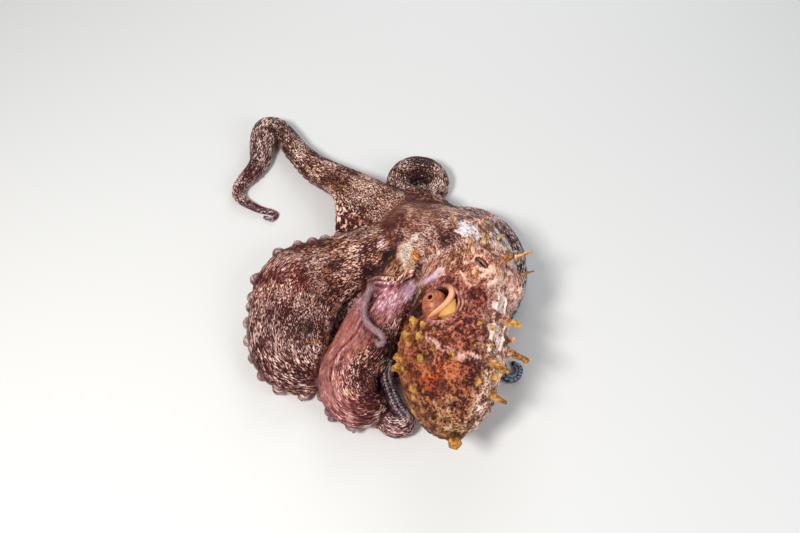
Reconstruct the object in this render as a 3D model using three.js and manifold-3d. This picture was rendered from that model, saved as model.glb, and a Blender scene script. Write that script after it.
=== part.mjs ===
// Common octopus at rest, life size. Millimetres, +Z up, floor at z = 0.
// The origin is the middle of the oral disc, on the floor under the crown of
// arms. The animal's head and mantle lean back along -Y over its own arms.
import * as THREE from "three";
import { ConvexGeometry } from "three/addons/geometries/ConvexGeometry.js";
import { mergeVertices } from "three/addons/utils/BufferGeometryUtils.js";
import Module from "manifold-3d";

const wasm = await Module();
wasm.setup();

// ---------------------------------------------------------------- sizes
const GAP = 0.3; // clear space between neighbouring pieces
const PRESS = 0.6; // how far a resting arm's round underside is pressed flat
const WEB = 6; // thickness of the web between two arms
const DISC_RADIUS = 15; // oral disc, where the crown stands on the floor
const EYE_RADIUS = 8.2; // eyeball
const EYE_PROUD = 1.2; // how far the eyeball stands out of the head
const APERTURE = 12.4; // radius of the mantle opening round the funnel
const APERTURE_DEPTH = 11;
const FUNNEL = 7.7; // radius of the funnel's end
const FUNNEL_BORE = 1.9; // radius of the hole in it
const SUCKER = 4.6; // radius of the largest suckers
const TURN = 30; // most degrees between two rings of a swept piece

// One row is one station along an arm: [x, y, half width, half height, height
// of the centre]. Without a half height the arm is round there, and without a
// centre height it rests on the floor.
const ARMS = {
  // first left arm: reaches forward, bends back on itself and ends in a curl
  l1: {
    route: [
      [-0.7, 3.3, 20, 18, 28], [-21.6, 29.5, 18, 16, 22], [-46, 51.7, 15.5, 15, 18],
      [-69.7, 68.9, 13.2, 13, 15], [-91.4, 84.2, 11.6, 11.4, 12.5], [-107.4, 103.8, 9.8], [-118, 119.5, 9.4],
      [-127.2, 127.9, 10.2, 10], [-135.7, 126.1, 11.4, 10.8], [-138.1, 114.2, 11.2, 10.5],
      [-139.1, 103.4, 9.4, 9], [-140.1, 93.4, 8.1, 8], [-145.3, 83.6, 7], [-152.2, 74.9, 6],
      [-155.5, 65.2, 5.3], [-150.8, 57.4, 4.1], [-142.9, 52.3, 3.4], [-135.2, 48.6, 3], [-127.6, 46.8, 2.7],
      [-122.5, 44.1, 2.3], [-125.5, 39.9, 1.9], [-131.5, 42, 1.6],
    ],
    cuts: [96, 146, 205],
    names: ["arm_l1_root", "arm_l1_middle", "arm_l1_bend", "arm_l1_tip"],
  },
  // second left arm: a broad flattened lobe; its slim end returns beside the
  // lobe and climbs over the third arm
  l2: {
    route: [
      [-0.7, 3.3, 20, 20, 28], [-23.1, -2.7, 20, 19, 26], [-46.1, -9.8, 22, 18, 23], [-70, -18, 27, 18, 20],
      [-93.5, -31.5, 35, 17.5, 18], [-99, -50, 33, 17, 17], [-101.2, -68.3, 31, 16.5],
      [-98.2, -85.5, 28, 14.5], [-91.1, -97.6, 21, 11.5], [-82.4, -102.5, 11, 8.4], [-74.9, -95.1, 7, 6.7],
      [-71.3, -80.2, 5.4], [-69, -64.4, 4.8], [-62.9, -47.4, 4.4], [-53.7, -38, 4.1, 4.1, 9],
      [-45.8, -35.1, 3.9, 3.9, 18], [-39.8, -36.6, 3.7, 3.7, 28], [-41.9, -46.4, 3.4, 3.4, 36],
      [-45.2, -56.7, 3, 3, 40], [-46, -66, 2.7, 2.7, 41], [-43, -73.9, 2.5, 2.5, 41],
      [-37.9, -79.3, 2.4, 2.4, 41], [-33.3, -82.7, 2.5, 2.5, 40], [-31.6, -86.7, 2.4, 2.4, 38.5],
      [-34.7, -88.9, 2.1, 2.1, 37.5], [-36.9, -85.8, 1.6, 1.6, 37.5],
    ],
    cuts: [62, 168, 232],
    names: ["arm_l2_root", "arm_l2_lobe", "arm_l2_return", "arm_l2_tip"],
  },
  // third left arm: rolls over beside the lobe and ends in a hook
  l3: {
    route: [
      [-0.8, -8.7, 19, 19, 24], [-17, -30.6, 18, 17, 24], [-29.7, -49.7, 20, 18, 20],
      [-39.9, -68.3, 22.5, 18.2], [-46.5, -84.2, 23.2, 18], [-56.3, -99.8, 20.7, 17.2],
      [-56.5, -113, 21, 16.5], [-52, -124, 17, 14.5, 16], [-43.5, -126.8, 13.2, 12.8, 14.5],
      [-35.5, -121.8, 10, 9.2, 10], [-30.3, -113.4, 7.2, 6.6], [-26.8, -104.2, 5.8, 5.2],
      [-21.5, -95.2, 4.8, 4.4], [-16, -87, 3.9], [-12.5, -79.5, 3],
    ],
    cuts: [58, 128],
    names: ["arm_l3_root", "arm_l3_flank", "arm_l3_hook"],
  },
  // fourth left arm: runs beside the mantle and hooks back under the third
  l4: {
    route: [
      [4.6, -15.8, 15, 15, 18], [-1.7, -37.2, 13], [-11.8, -60.1, 11, 11.5, 11.4],
      [-20.7, -77.4, 8.6, 8.6, 13.2], [-28.2, -91.5, 6.4, 6.4, 15.4], [-29.6, -104, 5, 5, 15.4],
      [-26.5, -115.5, 5, 5, 15.2], [-22.2, -125.3, 5.4, 5.6, 13.2], [-16.6, -132.6, 6.8, 7.4, 9.4],
      [-17.6, -137.6, 8.2, 8.6, 8.2], [-25, -137.4, 8.6, 8.8], [-31.8, -131.4, 7.4, 7.6],
      [-35.3, -124.5, 5.4, 5.5], [-37.3, -117.2, 4], [-38.2, -110, 3], [-36.1, -104.2, 2.2],
    ],
    cuts: [66, 128],
    names: ["arm_l4_root", "arm_l4_middle", "arm_l4_hook"],
  },
  // fourth right arm: under the mantle
  r4: {
    route: [
      [14, -12, 15, 15, 18], [19, -38, 12], [16, -62, 10.2], [12, -84, 9], [13, -100, 7.6], [18, -107.5, 6.2],
      [22.5, -102.5, 4.6], [23, -94, 3.2], [21, -87, 2.2],
    ],
    cuts: [70],
    names: ["arm_r4_root", "arm_r4_tip"],
  },
  // third right arm: under the right side of the head and mantle
  r3: {
    route: [
      [12, -8, 16, 16, 20], [34, -26, 13.4], [39, -48, 11], [37, -70, 9.8], [35, -92, 8.8], [33, -110, 7.8],
      [26, -121, 6.6], [15, -127, 5.6], [5.5, -127.5, 4.4], [0.5, -121, 3.2], [4.5, -115, 2.2],
    ],
    cuts: [62, 132],
    names: ["arm_r3_root", "arm_r3_middle", "arm_r3_tip"],
  },
  // second right arm: behind the head, down its right side, ends in a ring
  r2: {
    route: [
      [10.9, 7, 20, 20, 28], [28.9, 20.1, 15.5, 15.5, 22], [44.9, 21.7, 13.5, 13.5, 18],
      [58.6, 12.7, 12, 12, 16], [66.9, -2.6, 10.8, 10.8, 13.5], [68, -20.2, 10.2, 10.2, 12],
      [63.6, -37.1, 9.4, 9.4, 10.5], [57, -51.1, 8.4], [52.8, -65.5, 7], [51.5, -77.2, 5.8],
      [52.8, -87.2, 4.7], [55.7, -95.2, 4], [60.5, -100.5, 3.5], [65.9, -98, 3.1], [67.5, -91.9, 2.7],
      [64.2, -88, 2.1],
    ],
    cuts: [72, 150],
    names: ["arm_r2_root", "arm_r2_middle", "arm_r2_tip"],
  },
  // first right arm: coiled flat beside its own root
  r1: {
    route: [
      [1.7, 7, 20, 20, 28], [10.7, 22.5, 15, 15, 24], [4.1, 38.6, 13, 13, 20], [-10.2, 48.6, 11.2, 11.4, 16.5],
      [-20.2, 59.8, 9.8, 10.6, 13], [-21, 72, 10.1, 10.6, 11.2], [-14.8, 81.6, 10.8], [-4.2, 84.6, 10.8],
      [6, 81.2, 10.4], [11.2, 72.3, 9.8], [9.4, 62.6, 8.4], [3.4, 59.8, 6.6, 6.6, 6.8],
      [0.6, 65.4, 4.6, 4.6, 7.5], [-0.6, 70.6, 3.4, 3.4, 8.5], [-3.6, 73.4, 2.2, 2.2, 9.2],
    ],
    cuts: [58],
    names: ["arm_r1_root", "arm_r1_coil"],
  },
};

// Crown, head and mantle are one row of stations: [x, y, half width, half
// height, height of the centre], from the crown back to the mantle's end.
const BODY = [
  [-10.7, 7, 25, 23, 28], [10.2, -7.6, 32, 28, 37], [26.3, -23.7, 34, 31, 45], [30.1, -45, 33.8, 32, 50],
  [23.4, -65.5, 34.3, 34, 52.5], [18.7, -85.3, 34.8, 34.5, 53.5], [14.8, -101.4, 36.2, 35, 53],
  [13.1, -115.1, 33.6, 32.5, 51], [13.3, -126.7, 29.5, 28, 48], [12.8, -136, 23.5, 22, 45],
  [14.3, -144.1, 14.5, 14.5, 42.5], [16.4, -151.9, 7.2, 7.5, 41.5],
];
const NECK_1 = 36; // along the body: the crown ends and the head begins
const NECK_2 = 112; // the head ends and the mantle begins

// Where each web's free edge meets the two arms, measured along them.
const WEBS = {
  web_l1_l2: ["l1", "l2", 106, 79], web_l4_r4: ["l4", "r4", 68, 62],
  web_r3_r2: ["r3", "r2", 60, 96],
};

// Skin papillae: [host, foot, tip, foot radius, tip radius].
const PAPILLAE = [
  ["mantle", [15.9, -149, 41.5], [15.2, -166.2, 47.6], 4.6, 4.4], // the large blunt one at the mantle's end
  ["mantle", [-11, -94.4, 76.1], [-11.9, -90.5, 80.6], 3.1, 3],
  ["mantle", [2.4, -101.2, 85.1], [1.1, -100.6, 91], 2.4, 1.1],
  ["mantle", [-18, -116.8, 60.3], [-23.2, -116.8, 62.4], 4.1, 3],
  ["mantle", [46.4, -86.1, 72], [57.4, -92.9, 76.9], 3.9, 2.5],
  ["mantle", [50.8, -96, 59.3], [56.1, -95.8, 60.8], 2.7, 1.9],
  ["mantle", [48.5, -102.4, 58.8], [64.5, -110.3, 59.6], 4.3, 2.2],
  ["mantle", [34.6, -115.6, 75.2], [47, -127.6, 82.6], 4.3, 2.4],
  ["mantle", [28.8, -127.5, 72.6], [30.2, -131.6, 75.4], 3.1, 2.1],
  ["mantle", [38.5, -123, 66.6], [42, -126.8, 69.6], 3.1, 1.9],
  ["mantle", [35.2, -132.4, 59.8], [46.4, -141.8, 66.4], 3.9, 2.2],
  ["mantle", [28.8, -139.7, 52.7], [32.2, -143.3, 52.9], 2.9, 1.8],
  ["head", [28.8, -39.9, 79.3], [27.8, -35.6, 96], 2.5, 1.2],
  ["head", [18.2, -14.4, 68.2], [16.8, -9.9, 82.6], 2.8, 1.6],
  ["head", [33.9, -10.7, 69.1], [42.2, -8.3, 77.3], 2.9, 1.4],
  ["head", [38.1, -30.5, 74.8], [39.2, -27.6, 87], 3, 1.5],
  ["head", [50.4, -23.3, 68.6], [53, -21.3, 73.8], 2.3, 1.3],
  ["head", [47.7, -45.2, 75.7], [56, -45.5, 84.9], 3.4, 2.1],
  ["head", [57, -33.6, 58.4], [72.4, -30.1, 65.8], 3.1, 1.8],
  ["head", [59.1, -44.4, 55.6], [74.2, -42.7, 60.2], 2.5, 1],
];

// Mantle opening and funnel, in a frame on the skin: n points out of it.
const OPENING = new THREE.Vector3(5.4, -80.8, 86.4);
const OPENING_OUT = new THREE.Vector3(-0.36, -0.14, 0.92).normalize();
const FUNNEL_SHIFT = [-3.9, 0.6]; // the funnel's end sits left of the middle
// Eyes: [centre on the skin, outward].
const EYES = {
  eye_left: [[34.8, -50.5, 84.2], [0.05, 0.02, 1]],
  eye_right: [[62.8, -55, 60.5], [0.97, 0.1, 0.2]],
};

// ---------------------------------------------------------------- helpers
const V = (x, y, z) => new THREE.Vector3(x, y, z);

// A closed three.js geometry as a solid, and a solid as a geometry.
function solid(geometry, near = 1e-4) {
  let g = geometry.clone();
  for (const name of Object.keys(g.attributes)) if (name !== "position") g.deleteAttribute(name);
  g = mergeVertices(g, near);
  return new wasm.Manifold(
    new wasm.Mesh({
      numProp: 3,
      vertProperties: new Float32Array(g.attributes.position.array),
      triVerts: new Uint32Array(g.index.array),
    }),
  );
}
function geometryOf(s) {
  const m = s.getMesh();
  const g = new THREE.BufferGeometry();
  g.setAttribute("position", new THREE.BufferAttribute(new Float32Array(m.vertProperties), 3));
  g.setIndex(new THREE.BufferAttribute(new Uint32Array(m.triVerts), 1));
  g.computeVertexNormals();
  return g;
}
const join = (list) => list.reduce((a, b) => a.add(b));
// A solid once corners nearer than a distance are one, or nothing where two of
// its walls then only touch along an edge.
function welded(s, near) {
  const m = s.getMesh();
  const kept = [];
  const to = Array.from({ length: m.numVert }, (_, i) => {
    const p = V(...m.vertProperties.subarray(3 * i, 3 * i + 3));
    const k = kept.findIndex((q) => q.distanceToSquared(p) < near * near);
    return k < 0 ? kept.push(p) - 1 : k;
  });
  const faces = new Map(); // two triangles back to back cancel out
  for (let i = 0; i < m.triVerts.length; i += 3) {
    const t = [0, 1, 2].map((k) => to[m.triVerts[i + k]]);
    if (new Set(t).size < 3) continue;
    const key = [...t].sort((a, b) => a - b).join("_");
    if (!faces.delete(key)) faces.set(key, t);
  }
  const edges = new Map();
  for (const t of faces.values())
    for (let k = 0; k < 3; k++) {
      const [a, b] = [t[k], t[(k + 1) % 3]];
      const key = a < b ? a + "_" + b : b + "_" + a;
      edges.set(key, (edges.get(key) ?? 0) + 1);
    }
  if (!faces.size || [...edges.values()].some((n) => n !== 2)) return null;
  return new wasm.Manifold(
    new wasm.Mesh({
      numProp: 3,
      vertProperties: new Float32Array(kept.flatMap((p) => p.toArray())),
      triVerts: new Uint32Array([...faces.values()].flat()),
    }),
  );
}
// Of what a cut leaves, the largest body, or nothing where it has hair-thin
// walls or edges.
const biggest = (x) => x.decompose().reduce((a, b) => (b.volume() > a.volume() ? b : a));
function largest(s) {
  for (const near of [0.0015, 0.006, 0.02]) {
    let kept = biggest(s);
    for (let k = 0; k < 3; k++) {
      const next = welded(kept, near);
      if (!next) break;
      kept = biggest(next);
      const again = welded(kept, 0.0012);
      if (again && again.decompose().length === 1 && next.decompose().length === 1) return kept;
    }
  }
  return null;
}

// A smooth line through stations, sampled densely: centre p, half width a,
// half height b, distance s, and the frame T (along), N (up), B (left).
function sweepLine(rows) {
  const st = rows.map(([x, y, a, b = a, z = b - PRESS]) => [x, y, z, a, b]);
  const slope = st.map((_, i) => {
    const lo = Math.max(i - 1, 0);
    const hi = Math.min(i + 1, st.length - 1);
    return st[0].map((_, k) => (st[hi][k] - st[lo][k]) / (hi - lo));
  });
  const line = [];
  const STEPS = 16;
  for (let i = 0; i < st.length - 1; i++)
    for (let j = i ? 1 : 0; j <= STEPS; j++) {
      const x = j / STEPS;
      const q = st[i].map(
        (_, k) =>
          (2 * x ** 3 - 3 * x ** 2 + 1) * st[i][k] +
          (x ** 3 - 2 * x ** 2 + x) * slope[i][k] +
          (3 * x ** 2 - 2 * x ** 3) * st[i + 1][k] +
          (x ** 3 - x ** 2) * slope[i + 1][k],
      );
      line.push({ p: V(q[0], q[1], q[2]), a: q[3], b: q[4] });
    }
  line.forEach((q, i) => {
    q.s = i ? line[i - 1].s + q.p.distanceTo(line[i - 1].p) : 0;
    const lo = line[Math.max(i - 1, 0)];
    const hi = line[Math.min(i + 1, line.length - 1)];
    q.T = hi.p.clone().sub(lo.p).normalize();
    q.N = V(0, 0, 1).addScaledVector(q.T, -q.T.z).normalize();
    q.B = q.T.clone().cross(q.N);
  });
  // On the inner side of a tight bend the section stops short of the bend's centre.
  line.forEach((q) => {
    const turns = [0.3, 0.6].map((k) => {
      const h = k * Math.max(q.a, q.b);
      return at(line, q.s + h).T.clone().sub(at(line, q.s - h).T).divideScalar(2 * h);
    });
    const room = (half, side) => {
      const k = Math.max(...turns.map((t) => t.dot(side)));
      return k > 0 ? Math.min(half, 0.78 / k) : half;
    };
    const back = (v) => v.clone().negate();
    Object.assign(q, { left: room(q.a, q.B), right: room(q.a, back(q.B)), up: room(q.b, q.N), down: room(q.b, back(q.N)) });
  });
  return line;
}
// The sample of a line at distance s.
function at(line, s) {
  let i = 1;
  while (i < line.length - 1 && line[i].s < s) i++;
  const [u, w] = [line[i - 1], line[i]];
  const k = Math.min(Math.max((s - u.s) / (w.s - u.s), 0), 1);
  const mix = (x, y) => x.clone().lerp(y, k);
  return {
    s,
    p: mix(u.p, w.p),
    ...Object.fromEntries(["a", "b", "left", "right", "up", "down"].map((n) => [n, u[n] + (w[n] - u[n]) * k])),
    T: mix(u.T, w.T).normalize(),
    N: mix(u.N, w.N).normalize(),
    B: mix(u.B, w.B).normalize(),
  };
}
// The ring of corners of one section, with a corner at its lowest point.
function ring(q, sides, grow = 0, scale = 1, shift = 0) {
  return Array.from({ length: sides }, (_, k) => {
    const t = -Math.PI / 2 + (2 * Math.PI * k) / sides;
    const [x, y] = [Math.cos(t), Math.sin(t)];
    return q.p
      .clone()
      .addScaledVector(q.T, shift)
      .addScaledVector(q.B, ((x > 0 ? q.left : q.right) + grow) * scale * x)
      .addScaledVector(q.N, ((y > 0 ? q.up : q.down) + grow) * scale * y);
  });
}
const hull = (points) => solid(new ConvexGeometry(points));
// The closed skin over a row of rings that all have the same number of corners.
function skinned(rings) {
  const n = rings[0].length;
  const index = [];
  for (let i = 0; i < rings.length - 1; i++)
    for (let k = 0; k < n; k++) {
      const [a, b] = [i * n + k, i * n + ((k + 1) % n)];
      index.push(a, b, b + n, a, b + n, a + n);
    }
  const last = (rings.length - 1) * n;
  for (let k = 1; k < n - 1; k++) index.push(0, k + 1, k, last, last + k, last + k + 1);
  const g = new THREE.BufferGeometry().setFromPoints(rings.flat());
  g.setIndex(index);
  const s = solid(g);
  return s.volume() < 0 ? solid(flipped(g)) : s;
}
// The solid between distances s0 and s1 of a line; round ends are optional.
function length(line, s0, s1, { grow = 0, capStart = false, capEnd = false, spacing = 2.2 } = {}) {
  const stops = [at(line, s0)];
  let widest = Math.max(stops[0].a, stops[0].b);
  for (const q of line) {
    if (q.s <= s0 || q.s >= s1) continue;
    widest = Math.max(widest, q.a, q.b);
    const last = stops[stops.length - 1];
    const far = q.s - last.s;
    const bend = THREE.MathUtils.radToDeg(q.T.angleTo(last.T));
    const taper = Math.abs(q.a - last.a) / last.a;
    if (bend < TURN && far < spacing * Math.min(q.a, q.b) && taper < 0.25) continue;
    const [u, w] = [ring(last, 12), ring(q, 12)];
    if (w.every((p, k) => p.sub(u[k]).dot(q.T) > 0.12)) stops.push(q);
  }
  const end = at(line, s1);
  if (stops.length > 1 && end.s - stops[stops.length - 1].s < 0.4 * end.a) stops.pop();
  stops.push(end);
  const sides = widest > 17.5 ? 12 : widest > 12 ? 10 : widest > 6.5 ? 8 : 6;
  const rings = stops.map((q) => ring(q, sides, grow));
  if (capStart) {
    const r = Math.min(stops[0].a, stops[0].b);
    rings.unshift(ring(stops[0], sides, grow, 0.68, -0.66 * r));
    rings.unshift(ring(stops[0], sides, grow, 0.25, -0.9 * r));
  }
  if (capEnd) {
    const r = Math.min(end.a, end.b);
    rings.push(ring(end, sides, grow, 0.68, 0.66 * r));
    rings.push(ring(end, sides, grow, 0.25, 0.9 * r));
  }
  return skinned(rings);
}
// A frame with z along an outward direction, for lathed pieces.
function placed(geometry, origin, out) {
  const q = new THREE.Quaternion().setFromUnitVectors(V(0, 1, 0), out.clone().normalize());
  return geometry.applyQuaternion(q).translate(origin.x, origin.y, origin.z);
}
// A solid turned about its own axis from [radius, height] rows.
const turned = (rows, sides) =>
  new THREE.LatheGeometry(rows.map(([x, y]) => new THREE.Vector2(x, y)), sides);
// A rounded cone from foot to tip.
function cone(foot, tip, r0, r1, grow = 0) {
  const f = V(...foot);
  const t = V(...tip);
  const d = t.clone().sub(f);
  const h = d.length();
  const in0 = r0 + grow;
  const in1 = r1 + grow;
  return solid(
    placed(
      turned([[0, -r0 * 0.6], [in0, 0], [in1, h - r1 * 0.8], [0, h + grow]], 5),
      f,
      d,
    ),
  );
}

// ---------------------------------------------------------------- solids
const floor = solid(new THREE.BoxGeometry(800, 800, 60).translate(0, 0, -30));
const raw = []; // { name, make, grown } in order of precedence
const put = (name, make) => raw.push({ name, make, grown: make(GAP + 0.02) });

// eyeballs, and their sockets by precedence
for (const [name, [c, out]] of Object.entries(EYES))
  put(name, (g) => {
    const r = EYE_RADIUS + g;
    const rows = Array.from({ length: 7 }, (_, k) => {
      const t = -Math.PI / 2 + (Math.PI * k) / 6;
      return [k % 6 ? r * Math.cos(t) : 0, r * Math.sin(t)];
    });
    const o = V(...out).normalize();
    const centre = V(...c).addScaledVector(o, EYE_PROUD - EYE_RADIUS);
    return solid(placed(turned(rows, 10), centre, o));
  });

// funnel end with its blind bore, the flap beside it and the lining tissue
const side = V(1, 0, 0).addScaledVector(OPENING_OUT, -OPENING_OUT.x).normalize();
const upward = OPENING_OUT.clone().cross(side);
const inOpening = (x, y, z) =>
  OPENING.clone().addScaledVector(side, x).addScaledVector(upward, y).addScaledVector(OPENING_OUT, z);
put("funnel", (g) => {
  const R = FUNNEL + g;
  const rows = g
    ? [[0, -9 - g], [R * 0.9, -9 - g], [R, -2], [R * 0.9, 1.2], [R * 0.6, 2.4 + g], [0, 2.4 + g]]
    : [[0, -9], [R * 0.9, -9], [R, -2], [R * 0.9, 1.2], [R * 0.6, 2.4], [FUNNEL_BORE + 0.6, 2.2], [FUNNEL_BORE, 1.2], [FUNNEL_BORE * 0.8, -4], [0, -5]];
  return solid(placed(turned(rows, 12), inOpening(...FUNNEL_SHIFT, 0), OPENING_OUT.clone().addScaledVector(side, -0.15)));
});
put("funnel_flap", (g) => {
  const arc = Array.from({ length: 7 }, (_, k) => {
    const t = THREE.MathUtils.degToRad(75 - 25 * k);
    return inOpening(FUNNEL_SHIFT[0] + 10.1 * Math.cos(t), FUNNEL_SHIFT[1] + 10.1 * Math.sin(t), -1.2 - 0.4 * Math.cos(t));
  });
  const rings = arc.map((p, k) => {
    const w = 1.5 + 0.7 * Math.sin((Math.PI * k) / 6);
    const to = p.clone().sub(inOpening(...FUNNEL_SHIFT, -1.4)).normalize();
    const along = to.clone().cross(OPENING_OUT).normalize();
    return Array.from({ length: 6 }, (_, j) => {
      const t = (Math.PI * j) / 3;
      return p
        .clone()
        .addScaledVector(to, (w * 0.75 + g) * Math.cos(t))
        .addScaledVector(OPENING_OUT, (w * 1.7 + g) * Math.sin(t))
        .addScaledVector(along, 0);
    });
  });
  return join(rings.slice(1).map((r, k) => hull([...rings[k], ...r])));
});
put("funnel_lining", (g) => {
  const r = 4.4 + g;
  const rows = Array.from({ length: 6 }, (_, k) => {
    const t = -Math.PI / 2 + (Math.PI * k) / 5;
    return [k % 5 ? r * Math.cos(t) : 0, r * 1.15 * Math.sin(t)];
  });
  return solid(placed(turned(rows, 9), inOpening(7.2, -4.6, -4.2), OPENING_OUT));
});

// body: crown with the oral disc, head, and mantle with its opening
const body = sweepLine(BODY);
const bodyEnd = body[body.length - 1].s;
const openingRows = (grow) =>
  Array.from({ length: 9 }, (_, k) => {
    const t = -Math.PI / 2 + (Math.PI * k) / 8;
    return [k % 8 ? (APERTURE + grow) * Math.cos(t) : 0, (APERTURE_DEPTH + grow) * Math.sin(t)];
  });
const opening = (grow) => solid(placed(turned(openingRows(grow), 16), inOpening(0, 0, 0.5), OPENING_OUT));
const grownOn = (name, g) =>
  PAPILLAE.filter(([host]) => host === name).map(([, f, t, r0, r1]) => cone(f, t, r0, r1, g));
put("mantle", (g) =>
  join([length(body, NECK_2 + GAP / 2, bodyEnd, { grow: g, capEnd: true, spacing: 0.5 }), ...grownOn("mantle", g)]).subtract(opening(-g)),
);
put("head", (g) =>
  join([length(body, NECK_1 + GAP / 2, NECK_2 - GAP / 2, { grow: g, spacing: 0.8 }), ...grownOn("head", g)]).subtract(opening(-g)),
);
put("crown", (g) => {
  const disc = solid(
    placed(turned([[0, -0.2], [DISC_RADIUS + g, -0.2], [DISC_RADIUS + 6 + g, 9], [DISC_RADIUS + 8 + g, 22], [0, 30]], 14), V(0, 0, 0), V(0, 0, 1)),
  );
  return join([length(body, 0, NECK_1 - GAP / 2, { grow: g, capStart: true }), disc, ...grownOn("crown", g)]);
});

// arms, in lengths
const lines = {};
for (const [key, { route }] of Object.entries(ARMS)) lines[key] = sweepLine(route);
// A sucker: a short cup on the skin of an arm, facing out at an angle round it
// (degrees from the arm's left side, upward positive).
function sucker(line, s, angle, r, grow) {
  const q = at(line, s);
  const t = THREE.MathUtils.degToRad(angle);
  const out = q.B.clone().multiplyScalar(Math.cos(t)).addScaledVector(q.N, Math.sin(t)).normalize();
  const foot = q.p
    .clone()
    .addScaledVector(q.B, q.a * Math.cos(t))
    .addScaledVector(q.N, q.b * Math.sin(t))
    .addScaledVector(out, -0.45 * r);
  const h = 0.85 * r;
  const cup = [[0, -1], [r * 0.8, -1], [r, h * 0.8], [r * 0.8, h], [0, h * 0.5]];
  const filled = [[0, -1 - grow], [r * 0.8 + grow, -1 - grow], [r + grow, h * 0.8], [r * 0.8 + grow, h + grow], [0, h + grow]];
  return solid(placed(turned(grow ? filled : cup, 8), foot, out));
}
// Rows of suckers that stand out of the outline: [arm length, from, to, count,
// angle, radius at both ends].
const SUCKERS = [
  ["arm_l2_lobe", 78, 158, 8, -14, 4.4, SUCKER],
  ["arm_l3_flank", 84, 126, 5, -22, 3.4, 3.8],
];
for (const [key, { cuts, names }] of Object.entries(ARMS)) {
  const line = lines[key];
  const end = line[line.length - 1].s;
  const stops = [0, ...cuts, end];
  names.forEach((name, i) =>
    put(name, (g) =>
      join([
        length(line, stops[i] + (i ? GAP / 2 : 0), stops[i + 1] - (i < cuts.length ? GAP / 2 : 0), {
          grow: g,
          capEnd: i === cuts.length,
        }),
        ...SUCKERS.filter(([host]) => host === name).flatMap(([, from, to, count, angle, r0, r1]) =>
          Array.from({ length: count }, (_, k) =>
            sucker(line, from + ((to - from) * k) / (count - 1), angle, r0 + ((r1 - r0) * k) / (count - 1), g),
          ),
        ),
      ]),
    ),
  );
}

// webs: thick curved sheets between two arms
for (const [name, [one, two, reachOne, reachTwo]] of Object.entries(WEBS))
  put(name, (g) => {
    const [A, B] = [lines[one], lines[two]];
    const NT = 6;
    const NV = 6;
    const top = [];
    for (let i = 0; i <= NT; i++)
      for (let j = 0; j <= NV; j++) {
        const v = j / NV;
        const belly = 4 * v * (1 - v);
        const t = (0.3 + (0.7 * i) / NT) * (1 - 0.1 * belly * (i / NT) ** 2);
        const qa = at(A, t * reachOne);
        const qb = at(B, t * reachTwo);
        const p = qa.p.clone().lerp(qb.p, v);
        p.z += (1 - v) * 0.5 * qa.b + v * 0.5 * qb.b - 3.5 * belly * t;
        top.push(p);
      }
    const n = top.length;
    const points = [...top, ...top.map((p) => V(p.x, p.y, Math.max(p.z - WEB, 0.8)))];
    const index = [];
    const quad = (a, b, c, d) => index.push(a, b, c, a, c, d);
    const W = NV + 1;
    for (let i = 0; i < NT; i++)
      for (let j = 0; j < NV; j++) {
        const k = i * W + j;
        quad(k, k + W, k + W + 1, k + 1);
        quad(n + k, n + k + 1, n + k + W + 1, n + k + W);
      }
    for (let j = 0; j < NV; j++) {
      quad(j, j + 1, n + j + 1, n + j);
      const k = NT * W + j;
      quad(k + 1, k, n + k, n + k + 1);
    }
    for (let i = 0; i < NT; i++) {
      const k = i * W;
      quad(k + W, k, n + k, n + k + W);
      const m = i * W + NV;
      quad(m, m + W, n + m + W, n + m);
    }
    const geometry = new THREE.BufferGeometry().setFromPoints(points);
    geometry.setIndex(index);
    const s = solid(geometry);
    return s.volume() < 0 ? solid(flipped(geometry)) : s;
  });
function flipped(geometry) {
  const g = geometry.clone();
  const i = g.index.array;
  for (let k = 0; k < i.length; k += 3) [i[k + 1], i[k + 2]] = [i[k + 2], i[k + 1]];
  return g;
}

// Each piece gives way to those before it, and all stand on the floor.
const boxesMeet = (a, b) => {
  const [p, q] = [a.boundingBox(), b.boundingBox()];
  return [0, 1, 2].every((k) => p.min[k] <= q.max[k] && q.min[k] <= p.max[k]);
};
const pieces = raw.map(({ name, make }, i) => {
  for (const extra of [0, 0.04, 0.09, 0.15, 0.22]) {
    let cut = make(0);
    for (const other of raw.slice(0, i)) {
      if (!boxesMeet(cut, other.grown)) continue;
      cut = cut.subtract(extra ? other.make(GAP + extra) : other.grown);
    }
    const clean = largest(cut.subtract(floor));
    if (clean) return { name, solid: clean };
  }
  throw new Error(name + " has hair-thin walls");
});

// ---------------------------------------------------------------- scene
const flesh = (color, roughness = 0.55) => new THREE.MeshStandardMaterial({ color, roughness, metalness: 0 });
const FINISH = {
  eye: flesh(0x2a1a14, 0.12),
  mantle: flesh(0xa8713c),
  head: flesh(0xb58a72),
  funnel: flesh(0xb5743a, 0.4),
  arm: flesh(0x7c5148),
  web: flesh(0x86584c),
};
const root = new THREE.Group();
root.name = "octopus";
for (const { name, solid: s } of pieces) {
  const finish = Object.keys(FINISH).find((k) => name.startsWith(k)) ?? "head";
  const mesh = new THREE.Mesh(geometryOf(s), FINISH[finish]);
  mesh.name = name;
  root.add(mesh);
}

export default root;
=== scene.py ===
# Common octopus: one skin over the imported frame, with suckers, eyes and funnel.
import math
import time

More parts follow.
